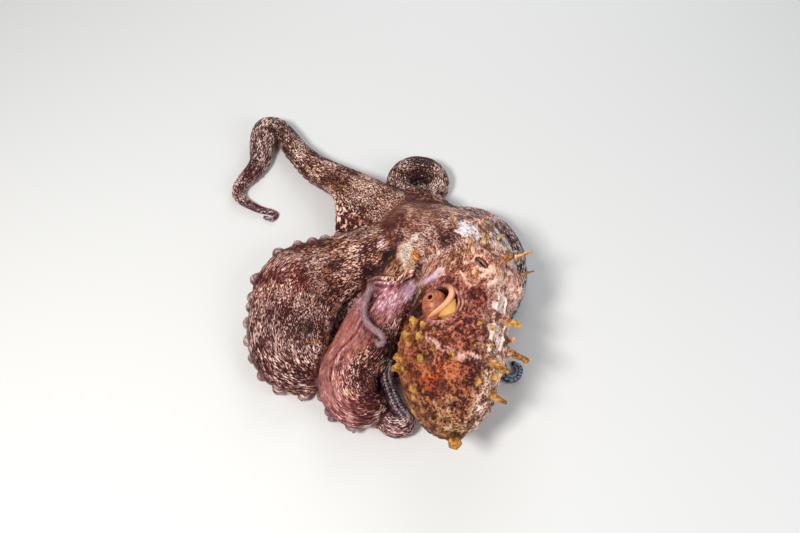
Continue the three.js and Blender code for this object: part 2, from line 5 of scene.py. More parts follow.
import bpy
import numpy as np
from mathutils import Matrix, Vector


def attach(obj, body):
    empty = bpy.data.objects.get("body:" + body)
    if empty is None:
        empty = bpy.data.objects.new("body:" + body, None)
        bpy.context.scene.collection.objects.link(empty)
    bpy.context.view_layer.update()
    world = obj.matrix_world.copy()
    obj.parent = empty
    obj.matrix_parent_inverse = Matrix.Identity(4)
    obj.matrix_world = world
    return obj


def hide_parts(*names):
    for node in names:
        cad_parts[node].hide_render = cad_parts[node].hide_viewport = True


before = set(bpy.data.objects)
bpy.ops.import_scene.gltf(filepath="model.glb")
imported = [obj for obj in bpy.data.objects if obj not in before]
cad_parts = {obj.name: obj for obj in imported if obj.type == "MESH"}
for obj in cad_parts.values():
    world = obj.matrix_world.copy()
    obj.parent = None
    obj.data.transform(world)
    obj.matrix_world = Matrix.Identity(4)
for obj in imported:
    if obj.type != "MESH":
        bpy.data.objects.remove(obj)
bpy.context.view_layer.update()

T0 = time.time()
MM = 0.001
VOXEL = 0.75      # mm, grid of the skin's distance field
FLOOR = 0.3       # mm, the skin stops here and the suckers under it reach the floor
PRESS = 0.6       # mm, how far a resting arm would be pressed flat; not used
FAR = 14.0        # mm, distances past this aren't kept


def log(*a):
    print("[%.1f]" % (time.time() - T0), *a, flush=True)


# ------------------------------------------------------------------ stations
# [x, y, half width, half height, centre height] in mm, as in the solids
ARMS = {
    "l1": [
        (-0.7, 3.3, 20, 18, 28), (-21.6, 29.5, 18, 16, 22), (-46, 51.7, 15.5, 15, 18),
        (-69.7, 68.9, 13.2, 13, 15), (-91.4, 84.2, 11.6, 11.4, 12.5), (-107.4, 103.8, 9.8, 9.8, 9.2),
        (-118, 119.5, 9.4, 9.4, 8.8), (-127.2, 127.9, 10.2, 10, 9.4), (-135.7, 126.1, 11.4, 10.8, 10.2),
        (-138.1, 114.2, 11.2, 10.5, 9.9), (-139.1, 103.4, 9.4, 9, 8.4), (-140.1, 93.4, 8.1, 8, 7.4),
        (-145.3, 83.6, 7, 7, 6.4), (-152.2, 74.9, 6, 6, 5.4), (-155.5, 65.2, 5.3, 5.3, 4.7),
        (-150.8, 57.4, 4.1, 4.1, 3.5), (-142.9, 52.3, 3.4, 3.4, 2.8), (-135.2, 48.6, 3, 3, 2.4),
        (-127.6, 46.8, 2.7, 2.7, 2.1), (-122.5, 44.1, 2.3, 2.3, 1.7), (-125.5, 39.9, 1.9, 1.9, 1.3),
        (-131.5, 42, 1.6, 1.6, 1)],
    "l2": [
        (-0.7, 3.3, 20, 20, 28), (-23.1, -2.7, 20, 19, 26), (-46.1, -9.8, 22, 18, 23),
        (-70, -18, 27, 18, 20), (-93.5, -31.5, 35, 17.5, 18), (-99, -50, 33, 17, 17),
        (-101.2, -68.3, 31, 16.5, 15.9), (-98.2, -85.5, 28, 14.5, 13.9), (-91.1, -97.6, 21, 11.5, 10.9),
        (-82.4, -102.5, 11, 8.4, 7.8), (-74.9, -95.1, 7, 6.7, 6.1), (-71.3, -80.2, 5.4, 5.4, 4.8),
        (-69, -64.4, 4.8, 4.8, 4.2), (-62.9, -47.4, 4.4, 4.4, 3.8), (-53.7, -38, 4.1, 4.1, 9),
        (-45.8, -35.1, 3.9, 3.9, 18), (-39.8, -36.6, 3.7, 3.7, 28), (-41.9, -46.4, 3.4, 3.4, 36),
        (-45.2, -56.7, 3, 3, 40), (-46, -66, 2.7, 2.7, 41), (-43, -73.9, 2.5, 2.5, 41),
        (-37.9, -79.3, 2.4, 2.4, 41), (-33.3, -82.7, 2.5, 2.5, 40), (-31.6, -86.7, 2.4, 2.4, 38.5),
        (-34.7, -88.9, 2.1, 2.1, 37.5), (-36.9, -85.8, 1.6, 1.6, 37.5)],
    "l3": [
        (-0.8, -8.7, 19, 19, 24), (-17, -30.6, 18, 17, 24), (-29.7, -49.7, 20, 18, 20),
        (-39.9, -68.3, 22.5, 18.2, 17.6), (-46.5, -84.2, 23.2, 18, 17.4), (-56.3, -99.8, 20.7, 17.2, 16.6),
        (-56.5, -113, 21, 16.5, 15.9), (-52, -124, 17, 14.5, 16), (-43.5, -126.8, 13.2, 12.8, 14.5),
        (-35.5, -121.8, 10, 9.2, 10), (-30.3, -113.4, 7.2, 6.6, 6), (-26.8, -104.2, 5.8, 5.2, 4.6),
        (-21.5, -95.2, 4.8, 4.4, 3.8), (-16, -87, 3.9, 3.9, 3.3), (-12.5, -79.5, 3, 3, 2.4)],
    "l4": [
        (4.6, -15.8, 15, 15, 18), (-1.7, -37.2, 13, 13, 12.4), (-11.8, -60.1, 11, 11.5, 11.4),
        (-20.7, -77.4, 8.6, 8.6, 13.2), (-28.2, -91.5, 6.4, 6.4, 15.4), (-29.6, -104, 5, 5, 15.4),
        (-26.5, -115.5, 5, 5, 15.2), (-22.2, -125.3, 5.4, 5.6, 13.2), (-16.6, -132.6, 6.8, 7.4, 9.4),
        (-17.6, -137.6, 8.2, 8.6, 8.2), (-25, -137.4, 8.6, 8.8, 8.2), (-31.8, -131.4, 7.4, 7.6, 7),
        (-35.3, -124.5, 5.4, 5.5, 4.9), (-37.3, -117.2, 4, 4, 3.4), (-38.2, -110, 3, 3, 2.4),
        (-36.1, -104.2, 2.2, 2.2, 1.6)],
    "r4": [
        (14, -12, 15, 15, 18), (19, -38, 12, 12, 11.4), (16, -62, 10.2, 10.2, 9.6), (12, -84, 9, 9, 8.4),
        (13, -100, 7.6, 7.6, 7), (18, -107.5, 6.2, 6.2, 5.6), (22.5, -102.5, 4.6, 4.6, 4),
        (23, -94, 3.2, 3.2, 2.6), (21, -87, 2.2, 2.2, 1.6)],
    "r3": [
        (12, -8, 16, 16, 20), (34, -26, 13.4, 13.4, 12.8), (39, -48, 11, 11, 10.4),
        (37, -70, 9.8, 9.8, 9.2), (35, -92, 8.8, 8.8, 8.2), (33, -110, 7.8, 7.8, 7.2),
        (26, -121, 6.6, 6.6, 6), (15, -127, 5.6, 5.6, 5), (5.5, -127.5, 4.4, 4.4, 3.8),
        (0.5, -121, 3.2, 3.2, 2.6), (4.5, -115, 2.2, 2.2, 1.6)],
    "r2": [
        (10.9, 7, 20, 20, 28), (28.9, 20.1, 15.5, 15.5, 22), (44.9, 21.7, 13.5, 13.5, 18),
        (58.6, 12.7, 12, 12, 16), (66.9, -2.6, 10.8, 10.8, 13.5), (68, -20.2, 10.2, 10.2, 12),
        (63.6, -37.1, 9.4, 9.4, 10.5), (57, -51.1, 8.4, 8.4, 7.8), (52.8, -65.5, 7, 7, 6.4),
        (51.5, -77.2, 5.8, 5.8, 5.2), (52.8, -87.2, 4.7, 4.7, 4.1), (55.7, -95.2, 4, 4, 3.4),
        (60.5, -100.5, 3.5, 3.5, 2.9), (65.9, -98, 3.1, 3.1, 2.5), (67.5, -91.9, 2.7, 2.7, 2.1),
        (64.2, -88, 2.1, 2.1, 1.5)],
    "r1": [
        (1.7, 7, 20, 20, 28), (10.7, 22.5, 15, 15, 24), (4.1, 38.6, 13, 13, 20), (-10.2, 48.6, 11.2, 11.4, 16.5),
        (-20.2, 59.8, 9.8, 10.6, 13), (-21, 72, 10.1, 10.6, 11.2), (-14.8, 81.6, 10.8, 10.8, 10.2),
        (-4.2, 84.6, 10.8, 10.8, 10.2), (6, 81.2, 10.4, 10.4, 9.8), (11.2, 72.3, 9.8, 9.8, 9.2),
        (9.4, 62.6, 8.4, 8.4, 7.8), (3.4, 59.8, 6.6, 6.6, 6.8), (0.6, 65.4, 4.6, 4.6, 7.5),
        (-0.6, 70.6, 3.4, 3.4, 8.5), (-3.6, 73.4, 2.2, 2.2, 9.2)],
}
BODY = [
    (-10.7, 7.0, 25, 23, 28), (10.2, -7.6, 32, 28, 37), (26.3, -23.7, 34, 31, 45),
    (30.1, -45.0, 33.8, 32, 50), (23.4, -65.5, 34.3, 34, 52.5), (18.7, -85.3, 34.8, 34.5, 53.5),
    (14.8, -101.4, 36.2, 35, 53), (13.1, -115.1, 33.6, 32.5, 51), (13.3, -126.7, 29.5, 28, 48),
    (12.8, -136.0, 23.5, 22, 45), (14.3, -144.1, 14.5, 14.5, 42.5), (16.4, -151.9, 7.2, 7.5, 41.5)]
# webs: [arm, arm, reach on each, thickness]
WEBS = [("l1", "l2", 106, 79, 3.0), ("l2", "l3", 62, 52, 3.0), ("l4", "r4", 68, 62, 3.0),
        ("r4", "r3", 58, 62, 3.0), ("r3", "r2", 60, 96, 3.0), ("r2", "r1", 62, 44, 3.2),
        ("r1", "l1", 60, 78, 3.2), ("l3", "l4", 60, 56, 3.0)]
# papillae: foot, tip, foot radius, tip radius, kind (1 ochre, 2 thin and orange, 3 star)
PAPILLAE = [
    ((-11.1, -93.9, 76.7), (-11.9, -90.5, 80.6), 2.6, 2.7, 1),
    ((-4.7, -95.7, 82.3), (-5.6, -94.6, 85.2), 1.9, 1.6, 1),
    ((2.2, -101.1, 85.9), (1.1, -100.6, 91.0), 1.9, 0.8, 1),
    ((-15.6, -99.5, 71.8), (-17.2, -98.0, 74.4), 3.2, 2.8, 1),
    ((-7.1, -104.4, 80.6), (-7.9, -103.2, 83.7), 2.6, 2.3, 1),
    ((-13.8, -104.7, 74.0), (-15.2, -103.9, 76.2), 2.5, 2.1, 1),
    ((-18.8, -110.3, 64.1), (-22.0, -110.2, 65.7), 3.2, 2.5, 1),
    ((-18.7, -116.8, 60.6), (-23.2, -116.8, 62.4), 3.6, 2.7, 1),
    ((-6.1, -117.5, 78.0), (-7.2, -118.0, 81.2), 3.2, 2.6, 1),
    ((1.1, -112.7, 83.6), (0.7, -112.8, 86.6), 1.5, 1.2, 1),
    ((-15.8, -119.3, 66.4), (-17.6, -120.3, 68.4), 2.2, 1.8, 1),
    ((-9.9, -130.2, 62.8), (-11.0, -132.2, 65.0), 2.8, 2.2, 1),
    ((-9.6, -134.6, 58.4), (-10.9, -136.6, 60.2), 2.3, 1.8, 1),
    ((-8.3, -141.5, 48.2), (-10.6, -142.3, 48.5), 2.4, 1.8, 1),
    ((-4.2, -142.5, 57.9), (-5.0, -144.3, 59.4), 1.9, 1.4, 1),
    ((9.4, -146.4, 57.6), (9.4, -148.6, 59.6), 1.9, 1.3, 1),
    ((12.8, -117.9, 84.3), (13.2, -118.6, 87.6), 2.2, 1.3, 3),
    ((32.5, -96.1, 84.5), (33.0, -96.2, 87.8), 2.2, 1.3, 3),
    ((26.8, -111.1, 84.5), (27.3, -111.8, 87.8), 2.0, 1.2, 3),
    ((37.6, -108.4, 79.2), (39.2, -109.0, 82.0), 2.0, 1.2, 3),
    ((39.2, -96.8, 80.1), (40.6, -96.8, 82.8), 1.9, 1.2, 1),
    ((47.8, -87.0, 72.6), (57.4, -92.9, 76.9), 3.4, 2.2, 1),
    ((51.5, -96.0, 59.5), (56.1, -95.8, 60.8), 2.2, 1.6, 2),
    ((50.6, -103.4, 58.9), (64.5, -110.3, 59.6), 3.8, 1.9, 1),
    ((36.2, -117.2, 76.2), (47.0, -127.6, 82.6), 3.8, 2.1, 1),
    ((29.0, -128.0, 73.0), (30.2, -131.6, 75.4), 2.6, 1.8, 1),
    ((39.0, -123.5, 67.0), (42.0, -126.8, 69.6), 2.6, 1.6, 1),
    ((36.7, -133.6, 60.7), (46.4, -141.8, 66.4), 3.4, 1.9, 1),
    ((29.2, -140.2, 52.7), (32.2, -143.3, 52.9), 2.4, 1.5, 1),
    ((28.7, -39.3, 81.5), (27.8, -35.6, 96.0), 2.0, 0.9, 2),
    ((18.0, -13.8, 70.1), (16.8, -9.9, 82.6), 2.3, 1.3, 2),
    ((35.0, -10.4, 70.2), (42.2, -8.3, 77.3), 2.4, 1.1, 2),
    ((38.2, -30.1, 76.4), (39.2, -27.6, 87.0), 2.5, 1.2, 2),
    ((50.7, -23.0, 69.3), (53.0, -21.3, 73.8), 1.8, 1.0, 2),
    ((48.8, -45.2, 76.9), (56.0, -45.5, 84.9), 2.9, 1.8, 2),
    ((59.0, -33.1, 59.4), (72.4, -30.1, 65.8), 2.6, 1.5, 2),
    ((61.1, -44.2, 56.2), (74.2, -42.7, 60.2), 2.0, 0.7, 2),
]
# folds of the body's skin, as [arc length, angle] from its right side over the top
RIDGES = {
    "fringe": (1.1, [(135, 56), (136, 66), (138, 74), (141, 83), (143, 89), (144, 99), (141, 108), (142, 120), (142, 130)]),
    "fan1": (0.9, [(186, 110), (181, 130), (170, 138), (161, 141), (152, 141)]),
    "fan2": (0.9, [(184, 120), (179, 152), (172, 158), (164, 156)]),
    "fan3": (0.8, [(184, 93), (175, 112), (163, 119), (156, 122)]),
    "mid1": (0.9, [(163, 96), (174, 93), (184, 87)]),
    "mid2": (0.8, [(167, 80), (175, 75), (183, 75)]),
    "left1": (0.9, [(151, 44), (158, 38), (165, 34), (171, 34)]),
    "band1": (1.2, [(98, 132), (112, 131), (121, 131), (131, 131), (141, 132)]),
    "band2": (1.0, [(92, 145), (110, 148), (120, 151), (133, 147)]),
    "fold": (1.3, [(120, 99), (124, 94), (130, 87), (133, 76), (133, 60)]),
    "edge": (1.2, [(124, 43), (130, 41), (138, 38), (145, 26), (153, 21), (165, 19), (171, 21)]),
    "under_eye": (0.9, [(85, 85), (89, 94), (90, 105), (83, 113)]),
    "brow": (1.0, [(80, 80), (75, 84), (72, 92), (73, 102), (77, 112)]),
    "cheek": (1.0, [(92, 81), (99, 93), (98, 109), (87, 122)]),
    "net1": (0.7, [(145, 62), (150, 76), (157, 84), (165, 79)]),
    "net2": (0.7, [(145, 98), (152, 107), (159, 109), (166, 102)]),
    "net3": (0.7, [(157, 52), (165, 60), (172, 62)]),
}
EYE_LEFT = np.array([34.8, -50.5, 84.2]), np.array([0.05, 0.02, 1.0])
EYE_RIGHT = np.array([62.8, -55, 60.5]), np.array([0.97, 0.1, 0.2])
SLIT_LEFT = np.array([0.66, -0.75, 0.0])
SLIT_RIGHT = np.array([0.1, -0.9, 0.3])
EYE_RADIUS = 8.2
OPENING = np.array([5.4, -80.8, 86.4])
OPENING_OUT = np.array([-0.36, -0.14, 0.92])
OPENING_RADIUS = 12.9


def unit(v):
    v = np.asarray(v, float)
    return v / np.maximum(np.linalg.norm(v, axis=-1, keepdims=True), 1e-12)


OPENING_OUT = unit(OPENING_OUT)
O_SIDE = unit(np.array([1.0, 0, 0]) - OPENING_OUT[0] * OPENING_OUT)
O_UP = np.cross(OPENING_OUT, O_SIDE)


def in_opening(x, y, h):
    return OPENING + x * O_SIDE + y * O_UP + h * OPENING_OUT


# ------------------------------------------------------------------ lines
class Line:
    """A smooth line through stations with its half sizes and frame."""

    def __init__(self, rows, steps=30):
        st = np.array([(r[0], r[1], r[4], r[2], r[3]) for r in rows], float)
        n = len(st)
        m = np.empty_like(st)
        m[1:-1] = (st[2:] - st[:-2]) / 2
        m[0], m[-1] = st[1] - st[0], st[-1] - st[-2]
        t = np.linspace(0, n - 1, (n - 1) * steps + 1)
        i = np.minimum(t.astype(int), n - 2)
        x = (t - i)[:, None]
        q = ((2 * x**3 - 3 * x**2 + 1) * st[i] + (x**3 - 2 * x**2 + x) * m[i]
             + (3 * x**2 - 2 * x**3) * st[i + 1] + (x**3 - x**2) * m[i + 1])
        s = np.concatenate([[0], np.cumsum(np.linalg.norm(np.diff(q[:, :3], axis=0), axis=1))])
        self.length = s[-1]
        T = unit(np.gradient(q[:, :3], s, axis=0))
        self.s, self.tab = s, np.concatenate([q, T], 1)
        self.n = int(self.length / 0.5) + 2
        self.even = np.stack([np.interp(np.linspace(0, self.length, self.n), s, self.tab[:, k]) for k in range(8)], 1)

    def at(self, s):
        f = np.clip(np.atleast_1d(s), 0, self.length) / self.length * (self.n - 1)
        i = np.minimum(f.astype(int), self.n - 2)
        f = (f - i)[:, None]
        v = self.even[i] * (1 - f) + self.even[i + 1] * f
        T = unit(v[:, 5:8])
        N = unit(np.array([0, 0, 1.0]) - T * T[:, 2:3])
        return v[:, :3], v[:, 3], v[:, 4], T, N, np.cross(T, N)

    def on(self, s, degrees):
        """A point on the surface and its outward direction."""
        c, a, b, T, N, B = self.at(s)
        t = np.radians(np.atleast_1d(degrees))
        p = c + (a * np.cos(t))[:, None] * B + (b * np.sin(t))[:, None] * N
        o = unit((np.cos(t) / a)[:, None] * B + (np.sin(t) / b)[:, None] * N)
        return p, o, T

    def stops(self):
        out, s = [0.0], 0.0
        while True:
            a, b = (np.interp(s, self.s, self.tab[:, k]) for k in (3, 4))
            s += float(np.clip(math.sqrt(0.3 * min(a, b)), 0.6, 3.0))
            if s >= self.length:
                break
            out.append(s)
        return np.array(out + [self.length])


LINES = {k: Line(v) for k, v in ARMS.items()}
BODY_LINE = Line(BODY)
ALL = {"body": BODY_LINE, **LINES}

# ------------------------------------------------------------------ distance fields
class Grid:
    """A block of points with a distance at each."""

    def __init__(self, lo, hi, h):
        self.lo, self.h = np.asarray(lo, float), h
        self.shape = np.ceil((np.asarray(hi) - self.lo) / h).astype(int) + 1
        self.ax = [self.lo[k] + h * np.arange(self.shape[k]) for k in range(3)]

    def full(self, value=FAR):
        return np.full(self.shape, value, np.float32)

    def window(self, lo, hi):
        i0 = np.clip(np.floor((np.asarray(lo) - self.lo) / self.h).astype(int), 0, self.shape - 1)
        i1 = np.clip(np.ceil((np.asarray(hi) - self.lo) / self.h).astype(int) + 1, 1, self.shape)
        return tuple(slice(a, max(b, a + 1)) for a, b in zip(i0, i1))

    def axes(self, win, c):
        return [(self.ax[k][win[k]] - c[k]).astype(np.float32) for k in range(3)]

    def ellipsoid(self, win, c, radii, frame_):
        ax = self.axes(win, c)
        k0 = k1 = 0
        for r, v in zip(radii, frame_):
            p = dot_axes(ax, np.asarray(v) / r)
            p *= p
            k0 = k0 + p
            k1 = k1 + p * np.float32(1 / (r * r))
        k0 = np.sqrt(k0)
        return k0 * (k0 - 1) / np.sqrt(k1 + 1e-12)

    def ball(self, field, c, r, margin=3.0):
        win = self.window(np.asarray(c) - r - margin, np.asarray(c) + r + margin)
        ax = self.axes(win, c)
        d = np.sqrt((ax[0] ** 2)[:, None, None] + (ax[1] ** 2)[None, :, None] + (ax[2] ** 2)[None, None, :])
        np.minimum(field[win], d - np.float32(r), out=field[win])

    def string(self, field, points, radii, margin=3.0, step=0.35):
        """Balls along a smooth line through points."""
        pts = np.asarray(points, float)
        rad = np.broadcast_to(np.asarray(radii, float), (len(pts),))
        m = np.gradient(pts, axis=0) if len(pts) > 2 else np.tile(pts[1] - pts[0], (2, 1))
        for i in range(len(pts) - 1):
            n = max(2, int(np.linalg.norm(pts[i + 1] - pts[i]) / (step * min(rad[i], rad[i + 1]) + 0.2)))
            for x in np.linspace(0, 1, n, endpoint=i == len(pts) - 2):
                q = ((2 * x**3 - 3 * x**2 + 1) * pts[i] + (x**3 - 2 * x**2 + x) * m[i]
                     + (3 * x**2 - 2 * x**3) * pts[i + 1] + (x**3 - x**2) * m[i + 1])
                self.ball(field, q, rad[i] + (rad[i + 1] - rad[i]) * x, margin)

    def sample(self, G, p):
        f = (p - self.lo) / self.h
        i = np.clip(np.floor(f).astype(int), 0, np.array(G.shape) - 2)
        f = np.clip(f - i, 0, 1)
        out = 0
        for dx in (0, 1):
            for dy in (0, 1):
                for dz in (0, 1):
                    w = ((f[:, 0] if dx else 1 - f[:, 0]) * (f[:, 1] if dy else 1 - f[:, 1])
                         * (f[:, 2] if dz else 1 - f[:, 2]))
                    out = out + w * G[i[:, 0] + dx, i[:, 1] + dy, i[:, 2] + dz]
        return out

    def gradient(self, G, p):
        g = np.empty_like(p)
        for k in range(3):
            o = np.zeros(3)
            o[k] = self.h * 0.8
            g[:, k] = (self.sample(G, p + o) - self.sample(G, p - o)) / (2 * o[k])
        return g


def dot_axes(ax, v):
    return ((ax[0] * np.float32(v[0]))[:, None, None] + (ax[1] * np.float32(v[1]))[None, :, None]
            + (ax[2] * np.float32(v[2]))[None, None, :])


def smin(a, b, k):
    h = np.maximum(k - np.abs(a - b), 0) / k
    return np.minimum(a, b) - h * h * k * np.float32(0.25)


def smax(a, b, k):
    return -smin(-a, -b, k)


def surface_nets(grid, D):
    neg = D < 0
    cnt = np.zeros(np.array(D.shape) - 1, np.uint8)
    for dx in (0, 1):
        for dy in (0, 1):
            for dz in (0, 1):
                cnt += neg[dx:D.shape[0] - 1 + dx, dy:D.shape[1] - 1 + dy, dz:D.shape[2] - 1 + dz]
    act = (cnt > 0) & (cnt < 8)
    cells = np.argwhere(act)
    idx = np.full(act.shape, -1, np.int32)
    idx[act] = np.arange(len(cells))
    corner = [(x, y, z) for x in (0, 1) for y in (0, 1) for z in (0, 1)]
    val = {c: D[cells[:, 0] + c[0], cells[:, 1] + c[1], cells[:, 2] + c[2]].astype(np.float64) for c in corner}
    pos = np.zeros((len(cells), 3))
    num = np.zeros(len(cells))
    for c0 in corner:
        for k in range(3):
            if c0[k]:
                continue
            c1 = list(c0)
            c1[k] = 1
            v0, v1 = val[c0], val[tuple(c1)]
            m = (v0 < 0) != (v1 < 0)
            t = np.where(m, v0 / np.where(v0 == v1, 1, v0 - v1), 0)
            for j in range(3):
                pos[:, j] += (t if j == k else c0[j]) * m
            num += m
    verts = grid.lo + (cells + pos / num[:, None]) * grid.h
    quads = []
    for k in range(3):
        u, v = (k + 1) % 3, (k + 2) % 3
        a = neg[tuple(slice(0, -1) if i == k else slice(1, -1) for i in range(3))]
        b = neg[tuple(slice(1, None) if i == k else slice(1, -1) for i in range(3))]
        e = np.argwhere(a != b)
        first = a[tuple(e.T)]
        e = e + np.array([0 if i == k else 1 for i in range(3)])
        du, dv = np.eye(3, dtype=int)[u], np.eye(3, dtype=int)[v]
        q = np.stack([idx[tuple((e - du - dv).T)], idx[tuple((e - dv).T)], idx[tuple(e.T)], idx[tuple((e - du).T)]], 1)
        q[~first] = q[~first][:, ::-1]
        quads.append(q)
    return verts, np.concatenate(quads)


def largest_part(V, Q):
    e = np.concatenate([Q[:, [0, 1]], Q[:, [1, 2]], Q[:, [2, 3]]])
    lab = np.arange(len(V))
    while True:
        m = np.minimum(lab[e[:, 0]], lab[e[:, 1]])
        new = lab.copy()
        np.minimum.at(new, e[:, 0], m)
        np.minimum.at(new, e[:, 1], m)
        for _ in range(6):
            new = new[new]
        if (new == lab).all():
            break
        lab = new
    keep = lab == np.bincount(lab).argmax()
    ren = np.cumsum(keep) - 1
    return V[keep], ren[Q[keep[Q[:, 0]]]]


def averager(n, Q):
    e = np.concatenate([Q[:, [0, 1]], Q[:, [1, 2]], Q[:, [2, 3]], Q[:, [3, 0]]])
    deg = np.maximum(np.bincount(e[:, 0], minlength=n) + np.bincount(e[:, 1], minlength=n), 1)

    def average(X):
        flat = np.asarray(X, float).reshape(n, -1)
        out = np.empty_like(flat)
        for k in range(flat.shape[1]):
            out[:, k] = (np.bincount(e[:, 0], flat[e[:, 1], k], minlength=n)
                         + np.bincount(e[:, 1], flat[e[:, 0], k], minlength=n)) / deg
        return out.reshape(np.shape(X))
    return average


def vertex_normals(V, Q):
    fn = np.cross(V[Q[:, 2]] - V[Q[:, 0]], V[Q[:, 3]] - V[Q[:, 1]])
    N = np.zeros_like(V)
    for k in range(3):
        for j in range(4):
            N[:, k] += np.bincount(Q[:, j], fn[:, k], minlength=len(V))
    return unit(N)


def relaxed(grid, D, V, Q, times=3, low=None):
    average = averager(len(V), Q)
    for _ in range(times):
        V = V + 0.5 * (average(V) - V)
        g = grid.gradient(D, V)
        step = grid.sample(D, V)[:, None] * g / np.maximum((g * g).sum(1), 0.2)[:, None]
        V = V - np.clip(step, -0.6 * grid.h, 0.6 * grid.h)
        if low is not None:
            V[:, 2] = np.maximum(V[:, 2], low)
    return V, average


# ------------------------------------------------------------------ the animal's field
G = Grid((-166, -172, -3), (92, 144, 103), VOXEL)
log("grid", G.shape, int(np.prod(G.shape)))


def chain_field(line, margin):
    """Distance to a swept line in its own window of the grid."""
    c, a, b, T, N, B = line.at(line.stops())
    r = np.maximum(a, b)[:, None] + margin
    win = G.window((c - r).min(0), (c + r).max(0))
    off = [w.start for w in win]
    d = np.full([w.stop - w.start for w in win], FAR, np.float32)
    for i in range(len(c)):
        w = G.window(c[i] - r[i], c[i] + r[i])
        e = G.ellipsoid(w, c[i], (a[i], b[i], min(a[i], b[i])), (B[i], N[i], T[i]))
        lw = tuple(slice(w[k].start - off[k], w[k].stop - off[k]) for k in range(3))
        np.minimum(d[lw], e, out=d[lw])
    return win, d


D = G.full()
win, d = chain_field(BODY_LINE, 10.0)
D[win] = d
# the blend is wide round the crown and tight where separate lengths touch
CROWN = np.array([-4.0, 2.0, 22.0])
K = dot_axes([np.square(G.ax[k] - CROWN[k]).astype(np.float32) for k in range(3)], (1, 1, 1))
K = 1.0 + 9.0 * np.clip(1.35 - np.sqrt(K) / 58.0, 0, 1)
for k in LINES:
    win, d = chain_field(LINES[k], 9.0)
    D[win] = smin(D[win], d, K[win])
del K
w = G.window((-34, -34, -3), (34, 34, 40))
D[w] = smin(D[w], G.ellipsoid(w, (0, 0, 12), (21, 21, 17), np.eye(3)), np.float32(6))
log("arms joined")

# webs: thick curved sheets between two arms
web = G.full()
for one, two, r1, r2, thick in WEBS:
    for t in np.linspace(0.3, 1, 34):
        v = np.linspace(0.0, 1.0, 30)
        te = t * (1 - 0.10 * 4 * v * (1 - v) * t * t)
        pa, aa, ba, *_ = LINES[one].at(te * r1)
        pb, ab, bb, *_ = LINES[two].at(te * r2)
        p = pa * (1 - v)[:, None] + pb * v[:, None]
        belly = 4 * v * (1 - v)
        p[:, 2] += (1 - v) * 0.45 * ba + v * 0.45 * bb - 3.5 * belly * t - 2.5
        p[:, 2] = np.maximum(p[:, 2], thick + 0.8)
        for q in p:
            G.ball(web, q, thick, 5.0)
D = smin(D, web, np.float32(7.0))
del web
log("webs")

# papillae: cones that grow smoothly out of the skin, then folds
PAP_POINTS = []
pap = G.full()
for foot, tip, r0, r1, kind in PAPILLAE:
    foot, tip = np.array(foot, float), np.array(tip, float)
    long = np.linalg.norm(tip - foot)
    bend = unit(np.cross(tip - foot, (0.3, 0.8, 0.5))) * 0.05 * long
    for t in np.linspace(-0.25, 1, max(7, int(long / 0.55))):
        q = foot + (tip - foot) * t + bend * math.sin(max(t, 0) * math.pi)
        r = r0 + (r1 - r0) * max(t, 0) ** 0.8
        G.ball(pap, q, max(r, 0.85), 4.0)
    PAP_POINTS.append((foot + (tip - foot) * 0.2, tip, r0, kind))
# the large papilla at the mantle's end widens to a blunt tip
TAIL = [(15.9, -149, 41.5), (15.6, -155, 43), (15.3, -159.5, 45), (15.2, -162, 46.3)]
G.string(pap, TAIL, [4.4, 3.7, 4.3, 4.7])
PAP_POINTS.append((np.array(TAIL[0]), np.array(TAIL[-1]), 5.0, 1))
D = smin(D, pap, np.float32(2.8))
pap[:] = FAR
PALE_RIDGES = ("fringe", "fan1", "fan2", "fan3", "band1", "band2", "brow", "cheek")
RIDGE_FIELD = G.full()
for name, (r, path) in RIDGES.items():
    sa = np.array([q[0] for q in path], float)
    da = np.array([q[1] for q in path], float)
    p, o, _ = BODY_LINE.on(sa, da)
    ends = np.sin(np.linspace(0.12, 0.88, len(sa)) * math.pi) ** 0.5
    G.string(pap, p + o * 0.3 * r, r * (0.35 + 0.65 * ends), 3.0)
    if name in PALE_RIDGES:
        G.string(RIDGE_FIELD, p, 0.5, 4.0)
D = smin(D, pap, np.float32(1.4))
del pap


def eye_socket(centre, out, slit):
    """Raises a low mound with two lids and opens the slit between them."""
    out = unit(out)
    slit = unit(slit - np.dot(slit, out) * out)
    across = np.cross(out, slit)
    w = G.window(centre - 26, centre + 26)
    mound = G.ellipsoid(w, centre - out * 8.6, (13.5, 11.5, 10.4), (slit, across, out))
    D[w] = smin(D[w], mound, np.float32(7))
    lids = G.full()
    for t in np.linspace(0, 2 * math.pi, 80, endpoint=False):
        q = centre + slit * 6.9 * math.cos(t) + across * 4.3 * math.sin(t) + out * (0.9 - 0.3 * math.cos(t) ** 2)
        G.ball(lids, q, 1.25)
        q = centre + slit * 9.2 * math.cos(t) + across * 6.6 * math.sin(t) - out * (0.2 + 0.5 * math.cos(t) ** 2)
        G.ball(lids, q, 0.8)
    D[w] = smin(D[w], lids[w], np.float32(1.6))
    hole = G.ellipsoid(w, centre + out * 0.6, (5.6, 3.3, 5.0), (slit, across, out))
    D[w] = smax(D[w], -hole, np.float32(0.7))
    return slit, across, out


EYES = {
    "eye_left": (EYE_LEFT[0],) + eye_socket(*EYE_LEFT, SLIT_LEFT),
    "eye_right": (EYE_RIGHT[0],) + eye_socket(*EYE_RIGHT, SLIT_RIGHT),
}

